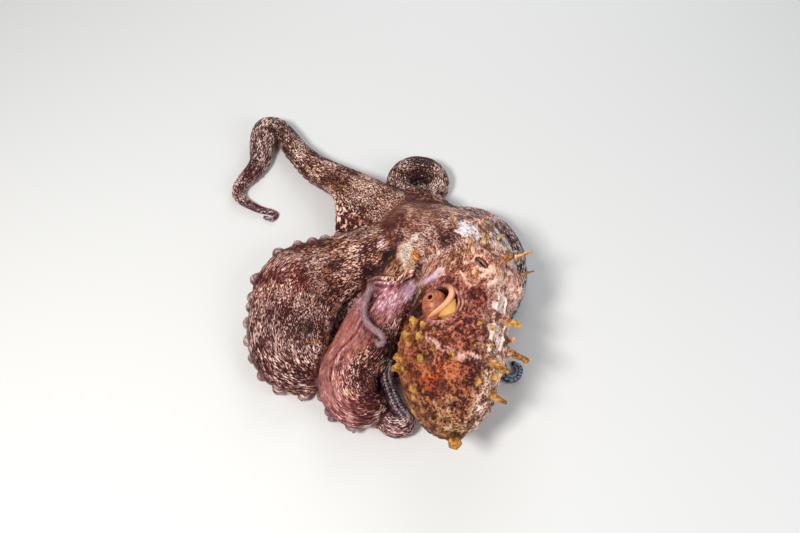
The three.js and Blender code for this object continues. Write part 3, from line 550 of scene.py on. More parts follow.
# mantle opening: swollen rim, then the hollow
w = G.window(OPENING - 30, OPENING + 30)
rim = G.full()
for t in np.linspace(-2.3, 0.9, 60):
    R = OPENING_RADIUS + 0.5
    G.ball(rim, in_opening(R * math.cos(t), R * math.sin(t), -0.3), 0.75 + 0.35 * math.sin(3 * t + 1))
for j, (a0, a1, R, r) in enumerate([(-52, 24, 15.6, 0.8), (-40, 30, 17.9, 0.7)]):
    pts = [in_opening(R * math.cos(t), R * math.sin(t), -0.9 - 0.35 * (R - 14)) for t in np.radians(np.linspace(a0, a1, 8))]
    G.string(rim, pts, r)
D[w] = smin(D[w], rim[w], np.float32(1.6))
hole = G.ellipsoid(w, in_opening(0, 0, 1.5), (OPENING_RADIUS - 0.3, OPENING_RADIUS - 0.3, 12.5), (O_SIDE, O_UP, OPENING_OUT))
D[w] = smax(D[w], -hole, np.float32(0.9))
# the opening runs on to the left as a deep dark gap
POCKET = [in_opening(*q) for q in ((-11, -2.5, -5.5), (-15, -3.5, -6.0), (-19, -4.0, -7.5), (-24, -4.0, -10.0))]
pocket = G.full()
G.string(pocket, POCKET, [5.6, 5.8, 5.6, 5.2], 5.0)
D[w] = smax(D[w], -pocket[w], np.float32(1.0))
# folds of the mantle's edge hang down to it, and a ragged flap overhangs its top
rim[:] = FAR
EDGE_FOLDS = [
    ([(-9.2, 15.0, 0.2), (-13.6, 11.6, -0.6), (-17.8, 6.8, -2.2), (-22.2, 1.0, -5.5)], 0.85),
    ([(-10.4, 12.0, 0.0), (-14.8, 8.4, -0.9), (-18.2, 4.2, -2.6), (-20.6, 0.6, -4.6)], 0.7),
    ([(-11.4, 9.6, 0.2), (-14.4, 6.0, -0.6), (-16.6, 2.4, -1.9)], 0.65),
    ([(-12.6, 13.8, -0.8), (-17.0, 9.6, -2.2), (-21.6, 4.6, -5.0)], 0.6),
]
for pts, r in EDGE_FOLDS:
    G.string(rim, [in_opening(*q) for q in pts], r, 3.0)
D[w] = smin(D[w], rim[w], np.float32(0.8))
FOLD_FIELD = rim.copy()
rim[:] = FAR
G.string(rim, [in_opening(*q) for q in ((-10.5, 11.6, 0.4), (-6.5, 13.0, 1.6), (-2.5, 12.6, 2.6), (1.2, 10.6, 3.2), (4.4, 9.4, 3.0), (6.6, 8.4, 2.2))],
         [1.6, 2.2, 2.4, 2.3, 1.8, 1.3])
G.string(rim, [in_opening(*q) for q in ((-10.0, 9.4, 1.6), (-5.5, 11.0, 3.4), (-1.5, 10.2, 4.2), (2.6, 8.2, 4.0))], [0.7, 0.8, 0.8, 0.6])
D[w] = smin(D[w], rim[w], np.float32(1.6))
FLAP_FIELD = rim

# scalloped edges: the stalks of suckers that push the skin out
STALKS = {"l2": (62, 206, (24, 10, -6, -18), 9.0, 4.9), "l3": (100, 152, (-4, -8, -12, -20), 7.4, 3.9)}
STALK_FIELD = G.full()
for arm, (s0, s1, deg, gap, r) in STALKS.items():
    for k, s in enumerate(np.arange(s0, s1, gap)):
        turn = np.interp((s - s0) / (s1 - s0), [0, 0.3, 0.65, 1], deg)
        p, o, T = LINES[arm].on(s, turn + 3 * math.sin(2.3 * k))
        rk = r * (1 + 0.08 * math.sin(1.7 * k)) * (0.7 + 0.3 * min(1, k / 2, (s1 - s) / gap / 2))
        G.ball(STALK_FIELD, p[0] - o[0] * (0.22 * r) - np.array([0, 0, 0.6]), rk, 4.0)
D = smin(D, STALK_FIELD, np.float32(1.1))
# the crown's web ends in a thin ragged edge over the third arm
edge = G.full()
E = [(-43.5, -38.0, 31.5), (-36.2, -38.6, 37.0), (-31.5, -40.6, 39.2), (-26.0, -41.0, 40.4), (-20.6, -41.4, 41.0), (-15.6, -39.0, 42.6), (-11.0, -37.6, 45.5)]
G.string(edge, E, [0.9, 1.2, 1.0, 1.3, 1.1, 1.2, 1.0])
G.string(edge, [np.array(q) + (0.5, 3.2, 0.9) for q in E], 1.5)
D = smin(D, edge, np.float32(1.8))
edge[:] = FAR
G.string(edge, [np.array(q) + (-0.3, -2.6, -0.6) for q in E[1:-1]], [0.9, 1.1, 1.1, 1.1, 0.9])
w = G.window((-60, -60, 20), (10, -20, 60))
D[w] = smax(D[w], -edge[w], np.float32(1.2))
del edge

# third arm: the rolled membrane's edge and a crease beside it
fold = G.full()
s = np.linspace(52, 118, 12)
p, o, _ = LINES["l3"].on(s, np.interp(s, [52, 85, 118], [82, 80, 62]))
G.string(fold, p + o * 0.2, 1.2 * np.sin(np.linspace(0.1, 0.95, 12) * math.pi) ** 0.5 + 0.3)
w = G.window((-90, -140, 0), (0, -20, 60))
D[w] = smin(D[w], fold[w], np.float32(2.2))
fold[:] = FAR
p, o, _ = LINES["l3"].on(s, np.interp(s, [52, 85, 118], [74, 73, 56]))
G.string(fold, p + o * 0.3, 1.3 * np.sin(np.linspace(0.1, 0.9, 12) * math.pi) ** 0.5 + 0.2)
D[w] = smax(D[w], -fold[w], np.float32(1.0))
del fold
log("head details")
D = np.maximum(D, np.float32(FLOOR) - G.ax[2].astype(np.float32)[None, None, :])

# ------------------------------------------------------------------ noise in numpy
class Noise:
    """Smooth value noise on a repeating block, and cell distances."""

    def __init__(self, seed, n=64):
        self.n = n
        rng = np.random.RandomState(seed)
        self.v = rng.rand(n, n, n).astype(np.float32)
        self.j = rng.rand(n, n, n, 3).astype(np.float32)

    def value(self, p):
        i = np.floor(p).astype(np.int64)
        f = (p - i).astype(np.float32)
        f = f * f * (3 - 2 * f)
        i0, i1 = i % self.n, (i + 1) % self.n
        out = 0
        for a, x in ((i0[:, 0], 1 - f[:, 0]), (i1[:, 0], f[:, 0])):
            for b, y in ((i0[:, 1], 1 - f[:, 1]), (i1[:, 1], f[:, 1])):
                xy = x * y
                out = out + xy * ((1 - f[:, 2]) * self.v[a, b, i0[:, 2]] + f[:, 2] * self.v[a, b, i1[:, 2]])
        return out

    def layered(self, p, times=3):
        out = total = 0
        for k in range(times):
            out = out + self.value(p * 2**k + 17.3 * k) / 1.8**k
            total += 1 / 1.8**k
        return out / total

    def cells(self, p):
        """Distance to the nearest and second cell point, and the nearest cell's own number."""
        base = np.floor(p).astype(np.int64)
        d1 = np.full(len(p), 9.0, np.float32)
        d2 = d1.copy()
        own = np.zeros(len(p), np.float32)
        for dx in (-1, 0, 1):
            for dy in (-1, 0, 1):
                for dz in (-1, 0, 1):
                    c = base + (dx, dy, dz)
                    m = c % self.n
                    q = c + self.j[m[:, 0], m[:, 1], m[:, 2]] - p
                    d = np.sqrt((q * q).sum(1)).astype(np.float32)
                    near = d < d1
                    d2 = np.where(near, d1, np.minimum(d2, d))
                    own = np.where(near, self.v[m[:, 0], m[:, 1], m[:, 2]], own)
                    d1 = np.where(near, d, d1)
        return d1, d2, own


def step(lo, hi, x):
    t = np.clip((x - lo) / (hi - lo), 0, 1)
    return t * t * (3 - 2 * t)


def evened(x):
    """Spreads values to even shares from 0 to 1."""
    pick = np.sort(x[:: max(1, len(x) // 20000)])
    return np.interp(x, pick, np.linspace(0, 1, len(pick)))


# ------------------------------------------------------------------ skin
V, Q = surface_nets(G, D)
V, Q = largest_part(V, Q)
V, average = relaxed(G, D, V, Q, 3, FLOOR)
N = vertex_normals(V, Q)
log("skin", len(V), "points", len(Q), "quads")


def lie(P):
    """For each point and each line: how far outside it, where along it and at what angle from its top."""
    names = list(ALL)
    M = np.full((len(P), len(names)), 99.0, np.float32)
    S = np.zeros((len(P), len(names)), np.float32)
    A = np.zeros((len(P), len(names)), np.float32)
    T_ = np.zeros((len(P), len(names), 3), np.float32)
    for k, name in enumerate(names):
        line = ALL[name]
        s = np.arange(0, line.length + 2.4, 2.5)
        c, a, b, T, Nn, B = line.at(s)
        m = np.minimum(a, b)
        near = np.nonzero(((P > c.min(0) - 45) & (P < c.max(0) + 45)).all(1))[0]
        WB, WN, WT = (B / a[:, None]).T, (Nn / b[:, None]).T, (T / m[:, None]).T
        oB, oN, oT = (c * WB.T).sum(1), (c * WN.T).sum(1), (c * WT.T).sum(1)
        WB, WN, WT = WB.astype(np.float32), WN.astype(np.float32), WT.astype(np.float32)
        for i in range(0, len(near), 20000):
            j = near[i:i + 20000]
            p = P[j].astype(np.float32)
            u, v, w_ = p @ WB - oB.astype(np.float32), p @ WN - oN.astype(np.float32), p @ WT - oT.astype(np.float32)
            e = (np.sqrt(u * u + v * v + w_ * w_) - 1) * m.astype(np.float32)
            q = e.argmin(1)
            r = np.arange(len(j))
            M[j, k] = e[r, q]
            S[j, k] = np.clip(s[q] + w_[r, q] * m[q], 0, line.length)
            A[j, k] = np.degrees(np.arctan2(u[r, q], v[r, q]))
            T_[j, k] = T[q]
    return names, M, S, A, T_


NAMES, M, S, A, TT = lie(V)
W = np.exp(-np.clip(M - M.min(1, keepdims=True), 0, 40) / 2.2)
W /= W.sum(1, keepdims=True)
OWN = M.argmin(1)
IX = {n: i for i, n in enumerate(NAMES)}
rows_ = np.arange(len(V))
# the streaks run along the arms: a smooth field of directions without signs
tensor = np.zeros((len(V), 6))
for k in range(len(NAMES)):
    t = TT[:, k].astype(float)
    tensor += W[:, k:k + 1] * np.column_stack([t[:, 0]**2, t[:, 1]**2, t[:, 2]**2, t[:, 0] * t[:, 1], t[:, 0] * t[:, 2], t[:, 1] * t[:, 2]])
for _ in range(5):
    tensor = average(tensor)
flow = TT[rows_, OWN].astype(float)
for _ in range(6):
    x, y, z = flow.T
    flow = unit(np.column_stack([tensor[:, 0] * x + tensor[:, 3] * y + tensor[:, 4] * z,
                                 tensor[:, 3] * x + tensor[:, 1] * y + tensor[:, 5] * z,
                                 tensor[:, 4] * x + tensor[:, 5] * y + tensor[:, 2] * z]))
flow = unit(flow - N * (flow * N).sum(1, keepdims=True))
del tensor
log("flow")


# coordinates for the finest streaks: length along an arm and angle round it,
# in two sets whose scale round the arm doubles by turns, so that the streaks
# keep one width from a thick root to a thin tip
s_own = S[rows_, OWN].astype(float)
for _ in range(2):
    for k, name in enumerate(NAMES):
        m_ = np.nonzero(OWN == k)[0]
        c, a, b, T, Nn, B = ALL[name].at(s_own[m_])
        s_own[m_] += 0.7 * np.clip(((V[m_] - c) * T).sum(1), -3, 3)
ang = np.zeros(len(V))
rate = np.ones(len(V))
for k, name in enumerate(NAMES):
    m_ = np.nonzero(OWN == k)[0]
    c, a, b, T, Nn, B = ALL[name].at(s_own[m_])
    u_, v_ = ((V[m_] - c) * B).sum(1) / a, ((V[m_] - c) * Nn).sum(1) / b
    ang[m_] = np.arctan2(u_, v_)
    rate[m_] = np.sqrt((a * v_) ** 2 + (b * u_) ** 2) / np.maximum(np.hypot(u_, v_), 0.3)
FLECK = 0.56                                      # mm, width of one streak
octave = np.log2(np.maximum(rate, 1.0) / FLECK)
even = 2 * np.round(octave / 2)
odd = 2 * np.round((octave - 1) / 2) + 1
odd_share = 1 - np.abs(octave - odd)
odd_share = step(0.15, 0.85, np.clip(odd_share, 0, 1))
flow_even = np.column_stack([s_own / 2.2, ang * 2.0 ** even, OWN * 7.31 + 0.4])
flow_odd = np.column_stack([s_own / 2.2, ang * 2.0 ** odd, OWN * 7.31 + 40.7])
coil = np.exp(-(np.clip(np.hypot(V[:, 0] - 2, V[:, 1] - 66) - 26, 0, 99) / 12) ** 2) * (V[:, 1] > 20) * (V[:, 0] > -16) * (W[:, IX["r1"]] < 0.9) * (V[:, 2] > 6)
tangent = np.column_stack([-(V[:, 1] - 66), V[:, 0] + 6, 0 * V[:, 0]])
tangent = unit(tangent - N * (tangent * N).sum(1, keepdims=True))
flip = np.sign((tangent * flow).sum(1, keepdims=True) + 1e-9)
flow = unit(flow * (1 - coil[:, None]) + tangent * flip * coil[:, None] * 1.5)
sure = (1 - step(0.3, 0.7, coil)) * step(0.55, 0.8, W.max(1)) * step(178, 170, np.abs(np.degrees(ang)))


def streaks(noise, size, length, n=9):
    """Noise drawn out along the flow."""
    out = 0
    for x in np.linspace(-0.5, 0.5, n):
        out = out + noise.value((V + flow * (x * length)) / size) * (1 - 1.2 * x * x)
    return evened(out)


NA, NB, NC = Noise(3), Noise(11), Noise(29)
fine = streaks(NA, 1.0, 3.6)
broad = streaks(NB, 2.5, 12.0)
patchy = evened(NC.layered(V / 15.0, 3))
mottle = evened(NA.layered(V / 5.0, 2))
c1, c2, cell = NB.cells(V / 2.7)
net = np.clip((c2 - c1) / 0.55, 0, 1)            # 0 on the lines between cells
w1, w2, wart = NC.cells(V / 4.6)
log("noise")

# how much each point belongs to the mantle, head and arms
body_w = W[:, IX["body"]]
sb = S[:, IX["body"]]
mantle = body_w * step(84, 104, sb)
head = body_w * (1 - step(84, 104, sb)) * step(26, 44, sb)
smooth = np.zeros(len(V))                          # bare, slippery skin

# l3: pale pink side towards the second arm, brown back
a3, s3, w3 = A[:, IX["l3"]], S[:, IX["l3"]], W[:, IX["l3"]]
pink = w3 * step(6, 26, a3) * (1 - step(128, 150, a3)) * step(18, 34, s3) * (1 - step(126, 142, s3))
smooth = np.maximum(smooth, pink * 0.9)
rel = V - OPENING
ox, oy, oh = rel @ O_SIDE, rel @ O_UP, rel @ OPENING_OUT
rad = np.hypot(ox, oy)


def from_line(points):
    """Distance of every point from a line through the points."""
    d = np.full(len(V), 99.0)
    points = np.array(points, float)
    for a_, b_ in zip(points[:-1], points[1:]):
        ab = b_ - a_
        t_ = np.clip(((V - a_) @ ab) / (ab @ ab), 0, 1)
        d = np.minimum(d, np.linalg.norm(V - (a_ + t_[:, None] * ab), axis=1))
    return d


lilac = np.exp(-(from_line([(3.5, -57, 79), (-1.5, -58, 75.5), (-5.5, -57.7, 69)]) / 3.2) ** 2)
lilac = np.maximum(lilac, np.exp(-(from_line([(-12, -42, 36), (-13.5, -47, 35.5)]) / 4.5) ** 2))
lip = step(OPENING_RADIUS + 3.2, OPENING_RADIUS + 0.8, rad) * (np.abs(oh) < 9)
inside = step(OPENING_RADIUS + 0.2, OPENING_RADIUS - 1.2, rad) * (np.abs(oh) < 16)
slim = W[:, IX["l2"]] * step(278, 292, S[:, IX["l2"]])
smooth = np.clip(np.maximum.reduce([smooth, lilac, inside, lip * 0.7, 0.9 * slim]), 0, 1)

ridge_d = G.sample(RIDGE_FIELD, V)
fold_d = G.sample(FOLD_FIELD, V)
flap_d = G.sample(FLAP_FIELD, V)
stalk_d = G.sample(STALK_FIELD, V)
ridge = step(2.6, 0.2, ridge_d) * step(0.42, 0.66, 0.55 * fine + 0.45 * mottle + 0.30 * (ridge_d < 0.7))
fringe = step(1.0, 0.1, fold_d)
stalk = step(1.6, 0.2, stalk_d) * np.maximum(W[:, IX["l2"]], W[:, IX["l3"]])
pocket_d = np.full(len(V), 99.0)
for a_, b_ in zip(POCKET[:-1], POCKET[1:]):
    ab = b_ - a_
    t_ = np.clip(((V - a_) @ ab) / (ab @ ab), 0, 1)
    pocket_d = np.minimum(pocket_d, np.linalg.norm(V - (a_ + t_[:, None] * ab), axis=1))
pocket_m = step(7.4, 6.2, pocket_d) * (V[:, 2] > 55) * (1 - fringe)
inside = np.maximum(inside, pocket_m) * (1 - step(0.9, 0.2, flap_d)) * (1 - fringe)
lip = lip * (1 - step(1.2, 0.3, flap_d)) * (1 - pocket_m)
smooth = np.clip(np.maximum(smooth, inside), 0, 1)
papilla = np.zeros(len(V))
for foot, tip, r0, kind in PAP_POINTS:
    ax_ = tip - foot
    L2_ = max(float(ax_ @ ax_), 1e-6)
    t = np.clip(((V - foot) @ ax_) / L2_, 0, 1)
    d = np.linalg.norm(V - (foot + t[:, None] * ax_), axis=1)
    papilla = np.maximum(papilla, step(r0 * 1.55, r0 * 0.95, d) * (0.35 + 0.65 * step(0.0, 0.45, t)) * {1: 1.0, 2: 0.7, 3: 0.6}[kind])

low = step(0.6, 3.5, V[:, 2])
eye_clear = np.ones(len(V))
for centre, slit, across, out in EYES.values():
    eye_clear *= step(6.5, 12, np.linalg.norm(V - centre, axis=1))

rough_w = (1 - smooth) * low
height = 0.34 * (fine - 0.5) + 0.42 * (broad - 0.5)
height = height * (1 - 0.6 * body_w) * rough_w
bumps = np.clip(1 - w1 / 0.62, 0, 1) ** 1.4 * (0.35 + 0.9 * wart)
height += mantle * rough_w * eye_clear * (1.15 * bumps + 0.35 * (mottle - 0.5) + 0.30 * (fine - 0.5) - 0.25)
height += head * rough_w * eye_clear * (0.55 * bumps + 0.25 * (mottle - 0.5))
height += (1 - body_w) * rough_w * 0.30 * np.clip(1 - w1 / 0.45, 0, 1) * (wart > 0.55)
sparse1, _, sparse = NA.cells(V / 8.5)
height += rough_w * eye_clear * (0.3 + 0.7 * mantle) * 1.2 * np.clip(1 - sparse1 / 0.16, 0, 1) ** 1.2 * (sparse > 0.45)
papilla = np.maximum(papilla, (0.3 + 0.7 * mantle) * rough_w * step(0.15, 0.05, sparse1) * (sparse > 0.45))
height *= 1 - 0.5 * inside
height += 0.35 * ridge * mantle * (fine - 0.3)
height += papilla * rough_w * 0.75 * (bumps - 0.35)
V = V + N * height[:, None]
V[:, 2] = np.maximum(V[:, 2], FLOOR)
N = vertex_normals(V, Q)
# hollows and ridges, at three widths, for the painted shade in hollows and painted light on ridges below
X = V
cavity = 0
done = 0
for times, share in ((2, 0.45), (10, 0.5), (40, 0.6)):
    for _ in range(times - done):
        X = average(X)
    done = times
    c_ = ((V - X) * N).sum(1)
    cavity = cavity + share * np.tanh(c_ / (0.10 * math.sqrt(times) * 1.1))
for _ in range(1):
    cavity = average(cavity)
log("relief")

# ------------------------------------------------------------------ meshes
def mesh_object(name, verts, faces, smooth_=True):
    me = bpy.data.meshes.new(name)
    verts, faces = np.asarray(verts, np.float64) * MM, np.asarray(faces, np.int32)
    n = faces.shape[1]
    me.vertices.add(len(verts))
    me.vertices.foreach_set("co", verts.astype(np.float32).ravel())
    me.loops.add(faces.size)
    me.loops.foreach_set("vertex_index", faces.ravel())
    me.polygons.add(len(faces))
    me.polygons.foreach_set("loop_start", np.arange(0, faces.size, n, dtype=np.int32))
    me.polygons.foreach_set("loop_total", np.full(len(faces), n, np.int32))
    me.update(calc_edges=True)
    if smooth_:
        me.polygons.foreach_set("use_smooth", np.ones(len(faces), bool))
    o = bpy.data.objects.new(name, me)
    bpy.context.scene.collection.objects.link(o)
    return o


def give(o, name, values):
    values = np.asarray(values, np.float32)
    me = o.data
    if values.ndim == 1:
        me.attributes.new(name, "FLOAT", "POINT").data.foreach_set("value", values)
    else:
        rgba = np.ones((len(values), 4), np.float32)
        rgba[:, :3] = values
        me.attributes.new(name, "FLOAT_COLOR", "POINT").data.foreach_set("color", rgba.ravel())


def triangles(quads):
    return np.concatenate([quads[:, [0, 1, 2]], quads[:, [0, 2, 3]]])


# ------------------------------------------------------------------ suckers
# profile of one cup: [radius, height] as shares of its radius
CUP = np.array([(0.60, -0.62), (0.66, -0.25), (0.74, -0.02), (0.93, 0.10), (1.0, 0.22), (0.95, 0.34), (0.83, 0.38),
                (0.66, 0.27), (0.45, 0.08), (0.26, -0.04), (0.21, -0.16)])
AROUND = 16


def cup_mesh():
    t = np.arange(AROUND) * 2 * math.pi / AROUND
    v = [(r * math.cos(x), r * math.sin(x), h) for r, h in CUP for x in t]
    v += [(0, 0, -0.62), (0, 0, -0.2)]
    rim = np.concatenate([np.repeat(CUP[:, 0], AROUND), [0, 0]])
    up = np.concatenate([np.repeat(np.arange(len(CUP)) / (len(CUP) - 1), AROUND), [0, 1]])
    f = []
    for i in range(len(CUP) - 1):
        for j in range(AROUND):
            k = (j + 1) % AROUND
            a, b, c, d = i * AROUND + j, i * AROUND + k, (i + 1) * AROUND + k, (i + 1) * AROUND + j
            f += [(a, b, c), (a, c, d)]
    n, last = len(CUP) * AROUND, (len(CUP) - 1) * AROUND
    for j in range(AROUND):
        k = (j + 1) % AROUND
        f += [(k, j, n), (last + j, last + k, n + 1)]
    return np.array(v), np.array(f), rim, up


# arm: [from, to, roll of the sucker side, spread from its middle, size], with sizes kept between 0.55 and 4.6 mm
ROWS = {
    "l1": [(60, 150, 0, 52, 0.30), (150, 420, 0, 56, 0.33)],
    "l2": [(50, 84, 0, 62, 0.24), (84, 208, 0, 71, 0.27), (208, 262, 0, 60, 0.33), (262, 330, -30, 50, 0.36),
           (330, 520, -55, 40, 0.40)],
    "l3": [(45, 84, 0, 66, 0.24), (84, 152, -6, 70, 0.26), (152, 250, -12, 60, 0.32)],
    "l4": [(50, 88, 0, 54, 0.30), (88, 150, 0, 0, 0), (150, 260, 0, 58, 0.30)],
    "r4": [(40, 190, 0, 54, 0.30)],
    "r3": [(40, 260, 0, 55, 0.30)],
    "r2": [(50, 110, 0, 56, 0.30), (110, 158, 0, 60, 0.32), (158, 230, 0, 0, 0)],
    "r1": [(40, 120, 0, 55, 0.30), (120, 230, 0, 58, 0.33)],
}
# blue tint of the suckers; on r2 it is painted shade, blue-grey as in deep water
TINT = {"l1": 0.0, "l2": 0.0, "l3": 0.0, "l4": 0.35, "r4": 0.0, "r3": 0.0, "r2": 1.0, "r1": 0.0}
rng = np.random.RandomState(5)
cv, cf, crim, cup_ = cup_mesh()
pv, pf, prim, pup, ptint, prand = [], [], [], [], [], []
placed = []
count = 0
for arm, spans in ROWS.items():
    line = LINES[arm]
    for side in (-1, 1):
        s = spans[0][0] + (0 if side < 0 else 4)
        while s < min(spans[-1][1], line.length - 1.5):
            span = next((q for q in spans if q[0] <= s < q[1]), spans[-1])
            if span[4] == 0:
                s += 2
                continue
            _, a, b, *_ = line.at(s)
            m = float(min(a[0], b[0]))
            r = float(np.clip(span[4] * m, 0.55, 4.6)) * (0.93 + 0.14 * rng.rand())
            deg = -90 + span[2] + side * span[3] + rng.uniform(-2, 2)
            p, o, T = line.on(s, deg)
            s += 2.12 * r
            p = p + o * 1.2
            for _ in range(5):
                g = G.gradient(D, p)
                p = p - np.clip(G.sample(D, p), -1.5, 1.5)[:, None] * unit(g)
            n = unit(G.gradient(D, p))[0]
            q = p[0]
            if abs(float(G.sample(D, p)[0])) > 0.5 or float(n @ o[0]) < 0.35:
                continue
            if float(G.sample(D, p + n * 2.2 * r)[0]) < 0.9 * r:
                continue
            if placed and min(np.linalg.norm(np.array([x[0] for x in placed]) - q, axis=1) - [0.62 * (r + x[1]) for x in placed]) < 0:
                continue
            drop = math.sqrt(max(0.0, 1 - n[2] ** 2))
            if n[2] < -0.8 or q[2] - r * drop - max(0, -n[2]) * 0.4 * r < 0.15:
                lift = 0.15 - (q[2] - r * drop - max(0, -n[2]) * 0.4 * r)
                if lift > 0.5 * r:
                    continue
                q = q + np.array([0, 0, lift])
            t = unit(T[0] - n * (T[0] @ n))
            k = np.cross(n, t)
            e = 1 + rng.uniform(-0.06, 0.06, 2)
            pv.append(q - n * 0.12 * r + r * (cv[:, :1] * e[0] * t + cv[:, 1:2] * e[1] * k + cv[:, 2:] * n))
            pf.append(cf + count * len(cv))
            prim.append(crim)
            pup.append(cup_)
            ptint.append(np.full(len(cv), TINT[arm]))
            prand.append(np.full(len(cv), rng.rand()))
            placed.append((q, r))
            count += 1
# where an arm lies with its suckers up, two rows of small ones
for arm, s0, s1, r0, r1, half in (("l4", 86, 131, 0.82, 0.78, 1.7), ("r2", 160, 228, 0.98, 0.62, 1.5)):
    line = LINES[arm]
    s = s0
    while s < min(s1, line.length - 1):
        c, a, b, T, N_, B_ = (q[0] for q in line.at(s))
        r = r0 + (r1 - r0) * (s - s0) / (s1 - s0)
        look = unit(np.array([-10, -250, 430.0]) - c)
        look = unit(look - T * (look @ T))
        mid = math.degrees(math.atan2(look @ N_, look @ B_))
        for side in (-1, 1):
            turn = mid + side * math.degrees(min(half, 0.55 * min(a, b)) / min(a, b))
            p, o, _ = line.on(s + (0.5 * r if side > 0 else 0), turn)
            for _ in range(6):
                p = p - np.clip(G.sample(D, p), -1.5, 1.5)[:, None] * unit(G.gradient(D, p))
            n = unit(G.gradient(D, p))[0]
            if abs(float(G.sample(D, p)[0])) > 0.5 or float(n @ look) < 0.3:
                continue
            t = unit(T - n * (T @ n))
            k = np.cross(n, t)
            pv.append(p[0] - n * 0.05 * r + r * (cv[:, :1] * t + cv[:, 1:2] * k + cv[:, 2:] * n))
            pf.append(cf + count * len(cv))
            prim.append(crim)
            pup.append(cup_)
            # blue tint: full on r2, where it is painted shade as in deep water, half on l4
            ptint.append(np.full(len(cv), 1.0 if arm == "r2" else 0.5))
            prand.append(np.full(len(cv), 0.1))
            count += 1
        s += 2.55 * r
SP = np.concatenate(pv)
SP[:, 2] = np.maximum(SP[:, 2], 0.02)
suckers = mesh_object("suckers", SP, np.concatenate(pf))
give(suckers, "rim", np.concatenate(prim))
give(suckers, "depth", np.concatenate(pup))
give(suckers, "tint", np.concatenate(ptint))
give(suckers, "own", np.concatenate(prand))
log("suckers", count, len(suckers.data.polygons))

# ------------------------------------------------------------------ funnel, its flap and its lining
L = Grid(OPENING - 19, OPENING + 19, 0.34)


def local_piece(name, field, tidy=3):
    v, q = surface_nets(L, field)
    v, q = largest_part(v, q)
    v, _ = relaxed(L, field, v, q, tidy)
    return mesh_object(name, v, q), v


bulb = L.full()
L.string(bulb, [in_opening(-3.7, 1.0, -3.4), in_opening(-4.4, -1.6, -3.9), in_opening(-5.6, -6.0, -5.6), in_opening(-7.4, -10.5, -8.5)],
         [8.4, 8.3, 7.0, 5.2], 6.0)
ring = L.full()
HOLE_OUT = unit(O_SIDE * -0.09 + O_UP * 0.17 + OPENING_OUT * 0.98)
top = in_opening(-3.7, 1.0, -3.4) + HOLE_OUT * 8.4
hs = unit(O_SIDE - HOLE_OUT * (O_SIDE @ HOLE_OUT))
hu = np.cross(HOLE_OUT, hs)
for t in np.linspace(0, 2 * math.pi, 40, endpoint=False):
    L.ball(ring, top + 2.3 * (hs * math.cos(t) + hu * math.sin(t)) - HOLE_OUT * 0.1, 0.65)
w = L.window(OPENING - 30, OPENING + 30)
bulb = smin(bulb, ring, np.float32(1.8))
pit = L.full()
L.string(pit, [top + HOLE_OUT * 2.5, top - HOLE_OUT * 0.5, top - HOLE_OUT * 4.5], [2.0, 1.6, 1.2])
bulb = smax(bulb, -pit, np.float32(0.5))
for k, (x0, y0, x1, y1) in enumerate([(-9.5, 4.5, -10.0, -1.5), (1.2, 5.8, 3.0, 0.5), (-7.0, -4.0, -1.0, -6.0)]):
    groove = L.full()
    a_, b_ = in_opening(x0, y0, 2.0), in_opening(x1, y1, 2.0)
    L.string(groove, [a_, (a_ + b_) / 2 + OPENING_OUT * 1.4, b_], 0.5)
    bulb = smax(bulb, -groove, np.float32(1.2))
funnel, FV = local_piece("funnel_tube", bulb)
fr = np.linalg.norm(FV - top, axis=1)
down = (top - FV) @ HOLE_OUT
give(funnel, "hole", step(2.1, 1.5, np.linalg.norm(FV - top + np.outer(down, HOLE_OUT), axis=1)) * step(-0.2, 0.5, down) * step(7, 5, down))
give(funnel, "rim", step(3.5, 2.6, fr) * step(1.5, 2.1, fr))
give(funnel, "side", (FV - OPENING) @ O_SIDE / 8.0)

flap = L.full()
FLAP = [(5.6, 11.0, -1.6), (8.2, 8.6, -0.2), (9.2, 4.6, 1.0), (7.6, 1.0, 1.4), (4.6, -2.2, 1.6), (0.4, -5.4, 2.2), (-4.2, -8.0, 1.4), (-7.0, -9.6, -1.4)]
L.string(flap, [in_opening(*q) for q in FLAP], [1.3, 1.7, 1.9, 1.8, 1.6, 1.3, 1.1, 0.8], 4.0)
for dx, dy, h in ((1.1, 0.8, 1.15), (-0.85, -0.85, 1.2)):
    lip_ = L.full()
    L.string(lip_, [in_opening(x + dx, y + dy * (1 if y < 4 else 0.2), z + h) for x, y, z in FLAP], 0.42)
    flap = smin(flap, lip_, np.float32(0.7))
under = L.full()
L.string(under, [in_opening(x * 0.98, y * 0.98, z - 3.0) for x, y, z in FLAP], 1.3, 4.0)
flap = smin(flap, under, np.float32(4.0))
flap_piece, FLV = local_piece("funnel_flap_fold", flap)
give(flap_piece, "rise", (FLV - OPENING) @ OPENING_OUT)

lining = L.full()
w = L.window(OPENING - 30, OPENING + 30)
lining[w] = L.ellipsoid(w, in_opening(5.4, -5.6, -4.4), (7.4, 6.0, 4.8), (unit(O_SIDE + 0.35 * O_UP), unit(O_UP - 0.35 * O_SIDE), OPENING_OUT))
for k in range(5):
    crest = L.full()
    y = -9.2 + 1.9 * k
    L.string(crest, [in_opening(-0.8 + 0.5 * k, y + 0.2, -1.6), in_opening(5.4, y + 0.8, 0.0), in_opening(10.6, y + 2.4, -1.4)], 0.55)
    lining = smin(lining, crest, np.float32(1.8))
lining_piece, LV = local_piece("funnel_lining_fold", lining)
give(lining_piece, "rise", (LV - OPENING) @ OPENING_OUT)
log("funnel", len(FV), len(FLV), len(LV))


